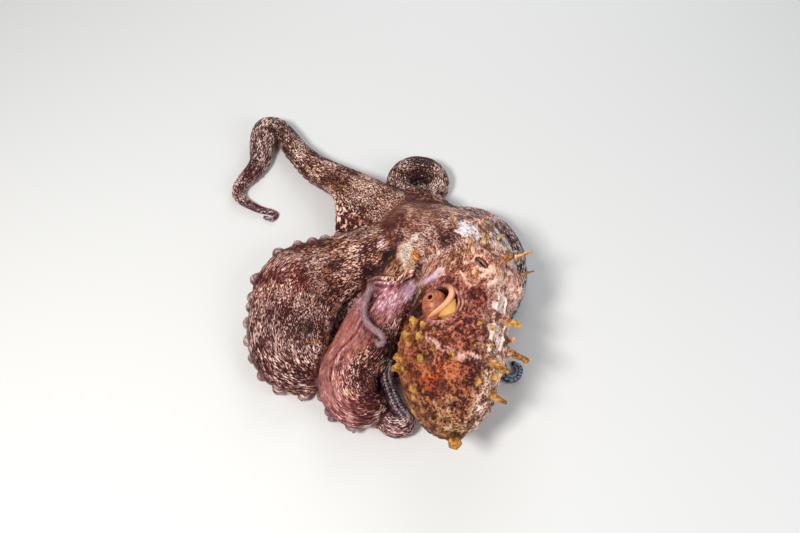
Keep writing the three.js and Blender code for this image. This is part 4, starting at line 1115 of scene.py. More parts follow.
# ------------------------------------------------------------------ eyes
def eyeball(name, centre, slit, across, out):
    """A ball whose iris bulges a little, with a bar-shaped pupil sunk into it."""
    c = centre - out * 7.0
    rings, segs = 90, 112
    v, f = [], []
    th = np.concatenate([[0.0], np.linspace(0.012, math.pi - 0.02, rings) ** 1.0, [math.pi]])
    ph = np.arange(segs) * 2 * math.pi / segs
    pts = [(0.0, 0.0, 1.0)]
    for t in th[1:-1]:
        pts += [(math.sin(t) * math.cos(x), math.sin(t) * math.sin(x), math.cos(t)) for x in ph]
    pts.append((0.0, 0.0, -1.0))
    pts = np.array(pts)
    ax_, ay_ = pts[:, 0] * EYE_RADIUS, pts[:, 1] * EYE_RADIUS
    # pupil: a bar along the slit, a little curved, sunk 0.5 mm
    bend = ay_ + 0.55 - 0.035 * ax_ ** 2
    front = pts[:, 2] > 0
    half = 0.95 * np.sqrt(np.clip(1 - (ax_ / 4.7) ** 2, 0, 1)) + 0.05
    pupil = step(0.16, -0.12, np.abs(bend) - half) * (np.abs(ax_) < 4.8) * front
    edge = np.exp(-((np.abs(bend) - half - 0.25) / 0.28) ** 2) * (np.abs(ax_) < 5.2) * front
    iris = step(6.4, 5.2, np.hypot(ax_, ay_)) * front
    r = EYE_RADIUS * (1 - 0.045 * pupil + 0.010 * edge + 0.014 * iris * step(5.4, 3.0, np.hypot(ax_, ay_)))
    world = c + r[:, None] * (pts[:, :1] * slit + pts[:, 1:2] * across + pts[:, 2:] * out)
    for j in range(segs):
        k = (j + 1) % segs
        f.append((0, 1 + j, 1 + k))
        last = 1 + (rings - 1) * segs
        f.append((last + j, last + segs, last + k))
    for i in range(rings - 1):
        for j in range(segs):
            k = (j + 1) % segs
            a, b = 1 + i * segs + j, 1 + i * segs + k
            f += [(a, a + segs, b + segs), (a, b + segs, b)]
    o = mesh_object(name, world, f)
    give(o, "pupil", pupil)
    give(o, "edge", edge)
    give(o, "iris", iris)
    give(o, "across", ay_ / 5.0)
    give(o, "along", ax_ / 5.0)
    return o


eye_pieces = {name: eyeball("ball_" + name, *q) for name, q in EYES.items()}
log("eyes")

# ------------------------------------------------------------------ colours of the skin
def lin(c):
    c = np.asarray(c, float) / 255
    return np.where(c <= 0.04045, c / 12.92, ((c + 0.055) / 1.055) ** 2.4)


# dark, middle and light tone at a length along each line, as display colours
TONES = {
    "l1": [(30, (84, 38, 33), (136, 86, 68), (214, 172, 146)), (80, (72, 30, 27), (128, 80, 62), (208, 170, 142)),
           (130, (52, 24, 22), (108, 66, 54), (198, 160, 134)), (185, (52, 34, 30), (104, 80, 70), (184, 160, 142)),
           (215, (58, 38, 36), (112, 82, 78), (178, 152, 146)), (250, (56, 30, 32), (104, 66, 68), (164, 128, 128)),
           (300, (66, 42, 48), (112, 82, 92), (158, 130, 142))],
    "l2": [(30, (82, 38, 34), (142, 96, 80), (220, 182, 156)), (62, (74, 30, 28), (126, 72, 60), (214, 172, 146)),
           (105, (74, 26, 26), (124, 62, 54), (206, 158, 140)), (140, (52, 22, 24), (92, 54, 54), (190, 158, 146)),
           (175, (54, 26, 26), (98, 60, 58), (182, 144, 136)), (215, (60, 34, 36), (98, 68, 70), (150, 122, 122)),
           (345, (58, 40, 46), (100, 74, 82), (140, 112, 122))],
    "l3": [(20, (84, 38, 34), (140, 88, 74), (216, 168, 146)), (60, (92, 46, 42), (148, 92, 80), (214, 160, 146)),
           (95, (74, 36, 32), (128, 76, 66), (208, 156, 142)), (130, (92, 44, 42), (142, 86, 82), (206, 158, 152)),
           (165, (62, 34, 36), (100, 66, 68), (158, 122, 122)), (205, (56, 34, 38), (92, 66, 72), (140, 112, 120))],
    "l4": [(30, (50, 26, 26), (88, 58, 56), (140, 108, 104)), (80, (26, 11, 14), (54, 34, 42), (96, 72, 84)),
           (122, (30, 12, 24), (58, 34, 54), (104, 78, 100)), (134, (82, 56, 62), (146, 118, 120), (206, 180, 180)),
           (185, (72, 50, 56), (128, 102, 108), (184, 158, 162))],
    "r4": [(0, (70, 36, 34), (122, 80, 74), (186, 148, 138)), (120, (62, 40, 42), (110, 82, 84), (160, 132, 134))],
    "r3": [(0, (70, 36, 34), (126, 84, 76), (196, 158, 146)), (170, (66, 42, 44), (116, 86, 88), (170, 142, 144))],
    # r2 from 96 mm on: teal and blue-grey tones, painted shade as in deep water
    "r2": [(20, (84, 50, 44), (150, 108, 96), (222, 190, 176)), (42, (120, 104, 98), (198, 182, 178), (248, 238, 238)),
           (64, (96, 92, 86), (164, 160, 154), (232, 230, 226)), (96, (58, 72, 70), (112, 130, 126), (180, 194, 190)), (140, (60, 66, 66), (110, 118, 116), (168, 174, 172)),
           (165, (26, 36, 50), (52, 72, 90), (112, 142, 162)), (195, (20, 30, 44), (44, 64, 84), (108, 140, 162))],
    "r1": [(0, (90, 44, 38), (150, 100, 86), (222, 184, 166)), (40, (62, 30, 26), (116, 76, 64), (196, 158, 138)),
           (100, (46, 20, 17), (92, 58, 48), (168, 136, 118)), (170, (40, 20, 18), (78, 50, 44), (146, 116, 102))],
    "body": [(0, (98, 44, 36), (156, 100, 82), (222, 178, 156)), (28, (96, 40, 34), (162, 102, 84), (226, 182, 162)),
             (50, (118, 62, 50), (186, 132, 112), (240, 206, 190)), (80, (140, 82, 58), (204, 148, 114), (246, 208, 184)),
             (98, (120, 58, 42), (184, 118, 88), (236, 186, 160)), (116, (84, 32, 28), (148, 82, 62), (222, 166, 144)),
             (138, (78, 26, 20), (146, 74, 44), (216, 150, 108)), (160, (76, 24, 14), (156, 82, 36), (220, 150, 88)),
             (176, (92, 44, 20), (160, 96, 44), (216, 160, 98)), (185, (112, 70, 32), (168, 116, 54), (208, 164, 106))],
}
BODY_LEFT = [(100, (88, 40, 22), (156, 94, 52), (216, 158, 104)), (150, (80, 32, 16), (150, 80, 34), (210, 142, 78)),
             (185, (88, 44, 20), (154, 96, 42), (204, 152, 88))]
BODY_RIGHT = [(60, (140, 88, 66), (204, 158, 132), (246, 218, 200)), (100, (130, 72, 60), (196, 144, 128), (246, 214, 204)),
              (135, (110, 62, 50), (184, 136, 118), (242, 210, 198)), (165, (92, 42, 28), (170, 110, 74), (232, 188, 158)),
              (185, (104, 62, 34), (166, 114, 66), (220, 176, 132))]


def along(rows, s):
    at_ = np.array([r[0] for r in rows], float)
    cols = np.array([[lin(c) for c in r[1:]] for r in rows])
    return np.stack([np.stack([np.interp(s, at_, cols[:, j, k]) for k in range(3)], 1) for j in range(3)], 1)


tones = np.zeros((len(V), 3, 3))
for name in NAMES:
    k = IX[name]
    m = W[:, k] > 1e-3
    c = along(TONES[name], S[m, k])
    if name == "body":
        a_ = A[m, k] + 14 * (mottle[m] - 0.5) + 16 * (patchy[m] - 0.5)
        reach = step(88, 112, S[m, k])
        left = (step(24, 52, a_) * reach)[:, None, None]
        c = c * (1 - left) + along(BODY_LEFT, S[m, k]) * left
        right = (step(-16, -44, a_) * step(52, 80, S[m, k]))[:, None, None]
        c = c * (1 - right) + along(BODY_RIGHT, S[m, k]) * right
    tones[m] += W[m, k, None, None] * c

# soft patches: centre, radius, strength, then the three tones
PATCHES = [
    ((-20.8, -28.4, 40.6), 9.0, 0.95, (122, 70, 44), (204, 152, 104), (246, 216, 172)),  # yellow cream below the saddle
    ((-28, -31, 38.5), 8.0, 0.85, (92, 44, 34), (164, 110, 74), (228, 184, 136)),
    ((-17.4, -20.5, 45.5), 8.2, 1.0, (186, 136, 108), (242, 214, 190), (255, 250, 240)), # white saddle
    ((-13.0, -20.0, 50.5), 6.8, 1.0, (182, 130, 100), (242, 212, 184), (255, 250, 238)),
    ((-13.0, -30.0, 47.0), 6.0, 0.9, (130, 82, 60), (206, 160, 128), (250, 220, 190)),
    ((-32.1, -10.4, 43.2), 4.6, 0.95, (150, 124, 118), (226, 212, 210), (255, 250, 250)),
    ((-37.5, -19.7, 39.2), 5.2, 0.9, (110, 72, 58), (206, 174, 144), (255, 236, 208)),
    ((-31.0, -18.1, 40.0), 4.6, 1.0, (34, 16, 18), (60, 38, 40), (126, 96, 90)),         # dark left of the saddle
    ((-25.6, -16.0, 43.0), 3.4, 0.9, (44, 22, 24), (76, 48, 50), (150, 116, 112)),
    ((-8.9, -25.8, 53.8), 4.2, 1.0, (196, 92, 22), (240, 150, 50), (255, 204, 110)),     # orange spot
    ((-6.4, -33.1, 50.4), 4.6, 1.0, (70, 26, 26), (112, 56, 48), (182, 122, 104)),
    ((2.3, -41.1, 69.4), 4.2, 0.9, (140, 56, 18), (196, 96, 42), (232, 152, 96)),
    ((2.2, -27.5, 66.1), 4.6, 0.8, (120, 52, 26), (186, 94, 48), (228, 150, 100)),
    ((-21.5, -6.5, 48.0), 5.5, 0.85, (46, 22, 24), (80, 48, 50), (160, 120, 116)),       # dark above
    ((0.5, -20.9, 65.2), 4.4, 0.85, (48, 24, 26), (86, 54, 54), (168, 128, 120)),
    ((10.6, -21.6, 72.2), 5.5, 0.9, (50, 22, 26), (88, 46, 46), (168, 116, 108)),
    ((-9.0, -13.5, 58.5), 3.6, 0.9, (156, 116, 108), (222, 194, 186), (255, 244, 240)),
    ((-46, -24, 37), 12, 0.55, (84, 40, 28), (164, 114, 82), (236, 206, 166)),           # light base of l2
    ((-23, 4, 47), 11, 0.55, (82, 30, 26), (132, 72, 58), (206, 156, 136)),              # warm brown crown
    ((4, 14, 52), 13, 0.5, (84, 34, 30), (140, 82, 66), (214, 166, 146)),
    ((-59, 2.5, 34.5), 8, 0.5, (88, 44, 38), (158, 114, 98), (230, 202, 184)),
    ((-54, 30, 28), 12, 0.45, (86, 44, 34), (158, 112, 86), (232, 198, 158)),            # pale rays of the web
    ((16, -22.5, 75), 7.5, 0.9, (66, 24, 24), (112, 54, 48), (190, 128, 112)),           # dark red on the head
    ((6, -17, 68), 6, 0.6, (80, 32, 28), (132, 72, 60), (206, 150, 134)),
    ((11.5, -33, 74), 8.0, 0.75, (146, 98, 86), (216, 176, 160), (252, 232, 220)),       # pale head
    ((17.5, -7.0, 74), 6.0, 0.35, (150, 120, 122), (222, 204, 208), (252, 246, 250)),    # white on the head's top
    ((27, -38, 80), 7.0, 0.85, (130, 76, 44), (210, 154, 100), (252, 216, 170)),
    ((26.4, -60.6, 86.1), 7.0, 0.85, (126, 62, 34), (198, 128, 82), (244, 188, 140)),   # orange cream under the eye
    ((46.9, -53.9, 80.9), 7.5, 0.8, (170, 110, 78), (236, 178, 138), (255, 226, 198)),
    ((37.4, -63.6, 83.9), 4.0, 0.8, (136, 54, 30), (190, 108, 78), (240, 178, 146)),
    ((27, -30, 79), 8.0, 0.5, (130, 80, 62), (206, 158, 132), (250, 222, 202)),
    ((5.8, -55.0, 79.8), 4.4, 1.0, (196, 168, 158), (244, 228, 218), (255, 252, 248)),   # white by the opening
    ((5.4, -56.0, 80.2), 1.5, 1.0, (70, 56, 60), (98, 84, 88), (150, 132, 134)),
    ((16.5, -64, 86), 6.5, 0.85, (96, 34, 28), (150, 78, 60), (220, 158, 138)),          # red brown above the opening
    ((31.5, -75.5, 85.5), 7.0, 0.97, (62, 20, 22), (108, 44, 40), (196, 112, 88)),       # maroon patch
    ((23, -66, 87), 5.0, 0.6, (150, 74, 50), (214, 142, 108), (250, 206, 182)),
    ((43, -60, 82), 10, 0.5, (136, 78, 50), (206, 148, 108), (250, 212, 178)),           # cream behind the eye
    ((47, -78, 75.5), 7, 0.6, (150, 94, 80), (222, 176, 160), (255, 232, 224)),          # pale band
    ((45, -96, 78), 9, 0.55, (140, 88, 74), (216, 172, 156), (255, 234, 226)),
    ((14, -102, 88), 8.0, 0.85, (70, 24, 22), (122, 60, 44), (198, 130, 98)),            # dark under the opening: the mantle's own dark red, with painted shadow under the opening's lip
    ((22, -92, 87.5), 6.5, 0.75, (72, 26, 24), (124, 62, 48), (196, 128, 104)),
    ((3.5, -95.5, 86), 5.0, 0.8, (74, 36, 34), (122, 76, 68), (186, 138, 124)),
    ((-3.5, -113, 81), 7.5, 0.8, (66, 24, 18), (120, 60, 34), (192, 128, 78)),
    ((24, -128.5, 79), 9.5, 0.9, (58, 18, 16), (104, 46, 30), (186, 110, 72)),           # maroon of the mantle
    ((18, -142, 71), 7.0, 0.85, (62, 20, 16), (108, 48, 28), (196, 122, 76)),
    ((31, -116, 84), 6.5, 0.6, (72, 26, 22), (128, 66, 48), (206, 138, 106)),
    ((-0.6, -130.3, 76.1), 8.5, 0.85, (124, 46, 10), (204, 106, 30), (242, 160, 78)),    # bright orange
    ((11.4, -125.6, 81.7), 6.0, 0.7, (110, 40, 12), (192, 94, 34), (236, 150, 84)),
    ((8.5, -141.9, 71.1), 6.0, 0.75, (130, 70, 30), (204, 144, 80), (248, 206, 146)),
    ((24.2, -123.0, 81.5), 6.5, 0.9, (58, 16, 22), (98, 38, 36), (184, 102, 78)),
    ((30.8, -100.4, 84.8), 6.5, 0.85, (70, 20, 24), (122, 54, 50), (222, 150, 132)),
    ((6.0, -114.0, 85.3), 4.6, 0.9, (60, 20, 24), (104, 46, 38), (190, 118, 84)),
    ((8, -125, 82), 7.0, 0.6, (86, 30, 16), (168, 88, 36), (222, 146, 82)),
    ((-12.5, -101, 76.5), 7.5, 0.6, (110, 56, 20), (178, 116, 48), (222, 168, 90)),      # ochre edge
    ((-16.5, -118, 68.5), 9.0, 0.6, (110, 54, 16), (182, 110, 36), (220, 158, 78)),
    ((-28.4, -92, 26), 9.0, 0.85, (44, 24, 24), (72, 46, 44), (112, 82, 78)),            # painted shade on l3's side towards the mantle, grey brown
    ((-31, -54, 37.5), 9.0, 0.6, (140, 66, 68), (204, 134, 132), (250, 204, 206)),       # pink top of l3
    ((-104, -37, 33), 15, 0.5, (84, 28, 26), (142, 66, 52), (214, 158, 134)),            # red brown of l2
    ((-63, -4, 37), 9, 0.4, (84, 32, 28), (146, 84, 66), (224, 178, 148)),
]
PATCHES += [
    ((-19.3, 12.0, 48.8), 7.0, 0.85, (70, 26, 24), (112, 56, 46), (196, 140, 120)),
    ((-26.8, 1.6, 46.8), 5.5, 0.85, (64, 28, 28), (104, 56, 50), (184, 134, 118)),
    ((12.6, -26.1, 74.2), 7.5, 0.9, (58, 26, 30), (98, 54, 54), (176, 128, 120)),
    ((13.6, -66.6, 85.8), 6.0, 0.9, (64, 22, 30), (110, 50, 54), (186, 114, 104)),
    ((27.9, -16.3, 75.5), 8.0, 1.0, (150, 120, 122), (226, 208, 214), (252, 246, 250)),
    ((31.6, -23.9, 77.6), 5.0, 0.9, (140, 112, 112), (218, 198, 202), (252, 244, 248)),
    ((59.8, -42.4, 66.0), 6.0, 0.9, (150, 118, 112), (222, 192, 190), (250, 236, 236)),
    ((54.0, -20.9, 66.3), 10.0, 0.8, (110, 104, 92), (178, 170, 158), (228, 222, 212)),
    ((-53.9, -13.4, 40.2), 7.5, 0.9, (120, 84, 66), (208, 182, 152), (252, 238, 216)),
    ((-43.0, -27.5, 34.6), 6.0, 0.9, (46, 18, 28), (84, 44, 50), (156, 114, 106)),
    ((-68.1, -22.3, 37.6), 6.0, 0.8, (54, 22, 28), (92, 50, 50), (170, 124, 110)),
    ((-75.6, -43.5, 32.7), 10.0, 0.7, (56, 22, 24), (98, 54, 50), (190, 146, 126)),
    ((-84.0, -26.0, 36.0), 7.0, 0.75, (110, 66, 54), (190, 152, 132), (246, 228, 210)),
    ((-93.6, -36.6, 35.1), 9.0, 0.8, (92, 28, 24), (140, 62, 48), (220, 164, 138)),
    # painted shadow in the dark gap left of the mantle opening
    ((-10.0, -66.5, 65.5), 6.0, 1.0, (28, 8, 8), (52, 20, 14), (92, 44, 32)),
    ((-10.5, -75.0, 67.5), 6.5, 1.0, (28, 8, 8), (52, 20, 14), (92, 44, 32)),
    ((-7.0, -61.5, 69.0), 3.5, 0.9, (40, 14, 14), (74, 34, 26), (130, 76, 56)),
]
lift = np.zeros(len(V))
for centre, r, strength, *c in PATCHES:
    d = np.linalg.norm(V - np.array(centre), axis=1)
    near = d < 2.4 * r
    x = np.exp(-((d[near] / r) ** 2)) + 0.34 * (mottle[near] - 0.5) + 0.20 * (fine[near] - 0.5)
    w_ = (strength * step(0.22, 0.62, x) * (1 - smooth[near] * (centre[0] > -40)))[:, None, None]
    tones[near] = tones[near] * (1 - w_) + np.array([lin(q) for q in c]) * w_
    lift[near] = lift[near] * (1 - w_[:, 0, 0]) + 0.75 * (np.mean(c[1]) / 255 - 0.45) * w_[:, 0, 0]


def cover(weight, c):
    global tones
    w_ = np.clip(weight, 0, 1)[:, None, None]
    tones = tones * (1 - w_) + np.array([lin(q) for q in c]) * w_


# bare skin of l3, from orange at its side to pink at its top
edge_a = np.interp(s3, [20, 60, 75, 90, 120], [-52, -44, -18, -10, -4]) + 8 * (mottle - 0.5)
start_ = np.interp(a3, [-40, -10, 11, 34, 60], [33, 35.5, 38, 42, 46]) + 2.2 * (mottle - 0.5)
pink = w3 * step(edge_a - 6, edge_a + 8, a3) * (1 - step(120, 150, a3)) * step(start_ - 0.6, start_ + 1.2, s3) * (1 - step(126, 146, s3))
smooth = np.maximum(smooth, 0.92 * pink * step(130, 96, s3))
cover(pink, [(132, 68, 62), (186, 116, 104), (226, 162, 148)])
cover(pink * step(78, 54, s3) * 0.9, [(140, 68, 78), (206, 142, 146), (252, 214, 220)])
cover(pink * step(94, 112, s3) * 0.85, [(104, 48, 46), (158, 98, 92), (214, 160, 150)])
cover(pink * np.exp(-((a3 - 62) / 13) ** 2) * step(56, 74, s3) * step(118, 100, s3) * 0.6, [(150, 74, 52), (204, 124, 92), (236, 176, 142)])
web_edge = step(1.2, -0.2, s3 - start_) * step(-5.5, -2.0, s3 - start_) * w3 * step(66, 50, a3) * step(-46, -30, a3)
cover(web_edge * 0.8 * (0.4 + 0.6 * fine), [(120, 84, 70), (206, 178, 156), (246, 232, 214)])
cover(lilac * 0.95, [(168, 110, 132), (226, 178, 198), (250, 224, 236)])
# painted shade: the inside of the mantle opening and the pocket beside it are coloured nearly black
cover(inside * 0.96, [(34, 8, 8), (70, 22, 18), (118, 52, 40)])
cover(lip * 0.6 * (rad > OPENING_RADIUS - 0.6) * (0.3 + 0.7 * mottle), [(130, 88, 76), (204, 170, 150), (246, 228, 212)])
flap_m = step(1.4, 0.2, flap_d) * body_w
cover(flap_m * 0.9, [(96, 36, 22), (166, 84, 48), (222, 146, 100)])
cover(fringe * body_w * 0.9, [(112, 92, 60), (196, 170, 124), (236, 222, 190)])


def pale_line(points, width, weight, c):
    d = from_line(points) + 1.8 * (mottle - 0.5)
    cover(step(width, 0.45 * width, d) * step(0.30, 0.55, 0.6 * fine + 0.4 * mottle) * weight * body_w, c)
    return step(width, 0.45 * width, d) * weight * body_w


CREAM = [(150, 104, 76), (226, 194, 162), (255, 244, 228)]
pale = pale_line([(-9.5, -100, 81), (-4.1, -104.7, 84.3), (4.4, -112.6, 85.5), (16.8, -117.6, 85.6), (27.4, -118, 82.6), (35, -113, 81.5)], 2.6, 1.0, CREAM)
for points, width in (([(43, -126, 70.5), (30.5, -139.5, 67), (17, -151.5, 60), (11.5, -158, 50)], 1.7),
                      ([(38, -122, 75), (24, -135, 73), (14.5, -147, 66.5), (11, -156, 55)], 1.5),
                      ([(46, -134, 60), (33, -147, 56), (19, -156, 50)], 1.6),
                      ([(9.9, -138, 74), (9.9, -147, 66.5), (10, -156, 55)], 1.5),
                      ([(0, -141, 70), (5.5, -149, 63), (9, -156, 54)], 1.4),
                      ([(-9, -140, 64), (-1.5, -149.5, 58), (6, -157, 50)], 1.3)):
    pale = np.maximum(pale, pale_line(points, width + 0.8, 0.75, [(122, 78, 46), (190, 142, 98), (236, 202, 160)]))
cover(ridge * mantle * 0.8, [(170, 120, 92), (228, 190, 160), (255, 240, 226)])
cover(ridge * head * 0.5, [(150, 96, 70), (226, 176, 140), (255, 230, 206)])
papilla_w = np.clip(papilla, 0, 1) * (0.25 + 0.75 * body_w)
cover(papilla_w * 0.8, [(88, 48, 16), (152, 100, 38), (200, 148, 78)])
cover(slim * 0.95, [(96, 64, 70), (138, 106, 112), (184, 154, 158)])
cover(stalk * 0.75, [(98, 52, 54), (150, 98, 96), (206, 156, 150)])
smooth = np.maximum(smooth, 0.6 * stalk)
# edges of the arms towards their suckers are plain and lilac grey
for name in LINES:
    k = IX[name]
    under_ = W[:, k] * step(86, 118, np.abs(A[:, k]))
    under_ *= {"l4": 1 - step(86, 92, S[:, k])}.get(name, np.ones(len(V)))
    cover(under_ * 0.85, [(92, 66, 70), (148, 114, 118), (196, 166, 170)])
    smooth = np.maximum(smooth, under_ * 0.5)
# painted shade: r2's sides and sucker side blue-grey, as in deep water
cover(W[:, IX["r2"]] * step(60, 100, np.abs(A[:, IX["r2"]])) * step(60, 120, S[:, IX["r2"]]) * 0.6,
      [(34, 44, 58), (66, 84, 100), (120, 146, 164)])


def scaled(weight, dark_, mid_, light_):
    """Multiplies the three tones where the weight is."""
    global tones
    k_ = np.array([dark_, mid_, light_])
    w_ = np.clip(weight, 0, 1)[:, None, None]
    tones = tones * (1 - w_ + w_ * k_)


right_m = step(-16, -44, A[:, IX["body"]]) * body_w * step(60, 90, sb)
plain_m = np.clip(smooth * w3, 0, 1)
left_m = mantle * step(16, 42, A[:, IX["body"]])
scaled((1 - body_w) * (1 - plain_m) * (1 - stalk) * (1 - slim), (0.44, 0.14, 0.15), (0.51, 0.26, 0.26), (0.95, 0.76, 0.76))
scaled(left_m, (0.78, 0.60, 0.60), (0.66, 0.50, 0.56), (0.66, 0.54, 0.60))
scaled(mantle * step(150, 166, sb), (0.55, 0.42, 0.42), (0.64, 0.52, 0.55), (0.66, 0.56, 0.54))
scaled(W[:, IX["l2"]] * step(-80, -105, V[:, 0]) * (1 - stalk), (1.20, 0.62, 0.60), (1.12, 0.60, 0.58), (0.97, 0.86, 0.88))
scaled(plain_m, (0.74, 0.62, 0.66), (0.94, 0.94, 1.02), (1.10, 1.16, 1.26))
scaled(mantle * (1 - right_m) * step(172, 158, sb), (0.70, 0.28, 0.27), (0.68, 0.46, 0.50), (0.66, 0.47, 0.52))
scaled(mantle * step(158, 172, sb), (0.50, 0.34, 0.34), (0.80, 0.80, 0.92), (0.94, 1.04, 1.3))
scaled(head * step(58, 76, sb), (0.48, 0.22, 0.22), (0.62, 0.46, 0.44), (0.84, 0.66, 0.66))
scaled(head * step(76, 58, sb), (0.44, 0.24, 0.26), (0.70, 0.60, 0.58), (0.96, 1.00, 1.08))
cover(papilla_w * 0.85, [(82, 46, 16), (146, 98, 38), (194, 144, 72)])
cover(lilac * 0.85, [(186, 136, 160), (230, 190, 212), (252, 232, 244)])
cover(stalk * 0.85, [(84, 56, 58), (128, 98, 96), (182, 152, 146)])
# painted shadow: the hollow left of the mantle opening is coloured nearly black
painted_gap_shade = body_w * step(76, 71, V[:, 2]) * step(46, 54, A[:, IX["body"]]) * step(94, 99, sb) * step(121, 116, sb)
cover(painted_gap_shade * (1 - fringe) * (1 - lilac) * (1 - papilla_w) * 0.95, [(36, 11, 8), (64, 26, 17), (106, 56, 36)])
for points in ([(-3.1, -56.8, 72.4), (-7.0, -62.5, 69.5), (-9.9, -66.0, 65.0), (-11.4, -73.0, 66.5)],
               [(-4.5, -60.5, 73), (-8.0, -67.5, 70), (-10.0, -72.0, 68)], [(-5.4, -57.5, 68.5), (-9.0, -61.5, 63.0)]):
    cover(step(1.5, 0.7, from_line(points)) * body_w * (0.5 + 0.5 * fine), [(112, 84, 52), (190, 158, 108), (236, 218, 180)])
tones = np.clip(tones, 0, 1)

# the pattern's tone at each point, from 0 dark to 1 light
arm_tone = 0.44 + 0.16 * (fine - 0.5) + 0.12 * (broad - 0.5) + 0.46 * (patchy - 0.5) + 0.10 * (mottle - 0.5)
body_tone = (0.46 * mottle + 0.08 * fine + 0.32 * net) + 0.36 * (patchy - 0.5) - 0.10 * (cell - 0.5)
body_tone = 0.48 + 0.70 * (evened(body_tone) - 0.5)
head_tone = 0.52 + 0.62 * (evened(0.40 * mottle + 0.42 * fine + 0.18 * net + 0.25 * (patchy - 0.5)) - 0.5)
tone = arm_tone * (1 - mantle - head) + body_tone * mantle + head_tone * head
plain = 0.50 + 0.14 * (broad - 0.5) + 0.12 * (fine - 0.5) + 0.24 * (mottle - 0.5)
tone = tone * (1 - smooth) + plain * smooth
# the cavity term is painted shade in hollows and painted light on ridges
tone = tone + 0.10 * np.clip(cavity, -1.2, 1.2) + papilla_w * 0.02 + 0.18 * ridge * body_w + 0.25 * fringe + lift + 0.12 * pale
tone = np.clip(tone, 0, 1)

# painted shade of fine furrows on the bare side of l3
furrow = NB.value(np.column_stack([s3 / 26.0, a3 / 6.5, s3 * 0 + 3.3]))
furrow = np.clip(1 - np.abs(furrow - 0.5) / 0.06, 0, 1) * pink * step(120, 60, s3)
# painted shade in hollows and painted light on ridges, from the cavity
shade = np.clip(1 + 0.42 * np.clip(cavity, -1.5, 1.0), 0.30, 1.4)
shade = shade * (1 - 0.55 * furrow)
# painted shade: skin within 9 mm of the floor is darker
floor_shade = step(9, 0, V[:, 2])
shade *= 1 - 0.25 * floor_shade
log("tones")

faces = Q
skin = mesh_object("skin", V, faces)
give(skin, "dark", tones[:, 0])
give(skin, "middle", tones[:, 1])
give(skin, "light", tones[:, 2])
give(skin, "tone", tone)
for name, values in (("flow_even", flow_even), ("flow_odd", flow_odd)):
    skin.data.attributes.new(name, "FLOAT_VECTOR", "POINT").data.foreach_set("vector", values.astype(np.float32).ravel())
give(skin, "odd_share", odd_share)
give(skin, "sure", sure * (1 - 0.88 * mantle - 0.45 * head))
give(skin, "shade", shade)
cream = np.where((mantle * (1 - right_m))[:, None] > 0.5, lin((226, 178, 140)), lin((248, 220, 206)))
give(skin, "cream", cream)
share = 0.85 * (1 - smooth) * (1 - np.clip(papilla_w, 0, 1)) * (1 - 0.85 * mantle * (1 - right_m)) * (1 - 0.4 * head)
share *= 1 - W[:, IX["l4"]] * step(134, 128, S[:, IX["l4"]])
share *= 1 - W[:, IX["r2"]] * step(140, 160, S[:, IX["r2"]])
give(skin, "cream_share", share)
give(skin, "orange", (1 - painted_gap_shade) * 0.65 * step(-112, -70, V[:, 0]) * step(75, 40, V[:, 1]) * (1 - W[:, IX["l4"]]) * (1 - W[:, IX["r2"]]))
give(skin, "bare", smooth)
give(skin, "netted", np.clip(mantle + 0.6 * head, 0, 1) * (1 - 0.7 * np.clip(papilla_w, 0, 1)))


# ------------------------------------------------------------------ materials
class Nodes:
    """A short way to write a node tree."""

    def __init__(self, name):
        self.mat = bpy.data.materials.new(name)
        self.mat.use_nodes = True
        self.t = self.mat.node_tree
        self.t.nodes.clear()
        self.out = self.new("ShaderNodeOutputMaterial")
        self.bsdf = self.new("ShaderNodeBsdfPrincipled")
        self.link(self.bsdf.outputs["BSDF"], self.out.inputs["Surface"])
        self.coords = self.new("ShaderNodeTexCoord").outputs["Object"]

    def new(self, kind, **kw):
        n = self.t.nodes.new(kind)
        for k, v in kw.items():
            setattr(n, k, v)
        return n

    def link(self, a, b):
        self.t.links.new(a, b)

    def put(self, socket, v):
        if hasattr(v, "is_output") or isinstance(v, bpy.types.NodeSocket):
            self.link(v, socket)
        else:
            socket.default_value = v

    def attribute(self, name, colour=False):
        n = self.new("ShaderNodeAttribute", attribute_name=name)
        return n.outputs["Color" if colour else "Fac"]

    def math(self, op, a, b=0.0, c=0.0, clamp=False):
        n = self.new("ShaderNodeMath", operation=op, use_clamp=clamp)
        for s, v in zip(n.inputs, (a, b, c)):
            self.put(s, v)
        return n.outputs[0]

    def ramp(self, v, lo, hi):
        n = self.new("ShaderNodeMapRange", interpolation_type="SMOOTHSTEP")
        self.put(n.inputs["Value"], v)
        n.inputs["From Min"].default_value, n.inputs["From Max"].default_value = lo, hi
        return n.outputs["Result"]

    def mix(self, f, a, b, kind="MIX"):
        n = self.new("ShaderNodeMix", data_type="RGBA", blend_type=kind)
        self.put(n.inputs["Factor"], f)
        for s, v in ((n.inputs[6], a), (n.inputs[7], b)):
            self.put(s, v if isinstance(v, bpy.types.NodeSocket) else (*v, 1.0))
        return n.outputs[2]

    def noise(self, size, detail=3.0, rough=0.55, distort=0.0, vector=None):
        n = self.new("ShaderNodeTexNoise")
        self.link(vector or self.coords, n.inputs["Vector"])
        n.inputs["Scale"].default_value = 1.0 if vector else 1 / (size * MM)
        n.inputs["Detail"].default_value = detail
        n.inputs["Roughness"].default_value = rough
        n.inputs["Distortion"].default_value = distort
        return n.outputs["Fac"]

    def voronoi(self, size, feature="F1", jitter=1.0):
        n = self.new("ShaderNodeTexVoronoi", feature=feature)
        self.link(self.coords, n.inputs["Vector"])
        n.inputs["Scale"].default_value = 1 / (size * MM)
        n.inputs["Randomness"].default_value = jitter
        return n.outputs["Distance"]

    def bump(self, height, distance, strength=1.0, normal=None):
        n = self.new("ShaderNodeBump")
        n.inputs["Distance"].default_value = distance * MM
        n.inputs["Strength"].default_value = strength
        self.put(n.inputs["Height"], height)
        if normal is not None:
            self.link(normal, n.inputs["Normal"])
        return n.outputs["Normal"]


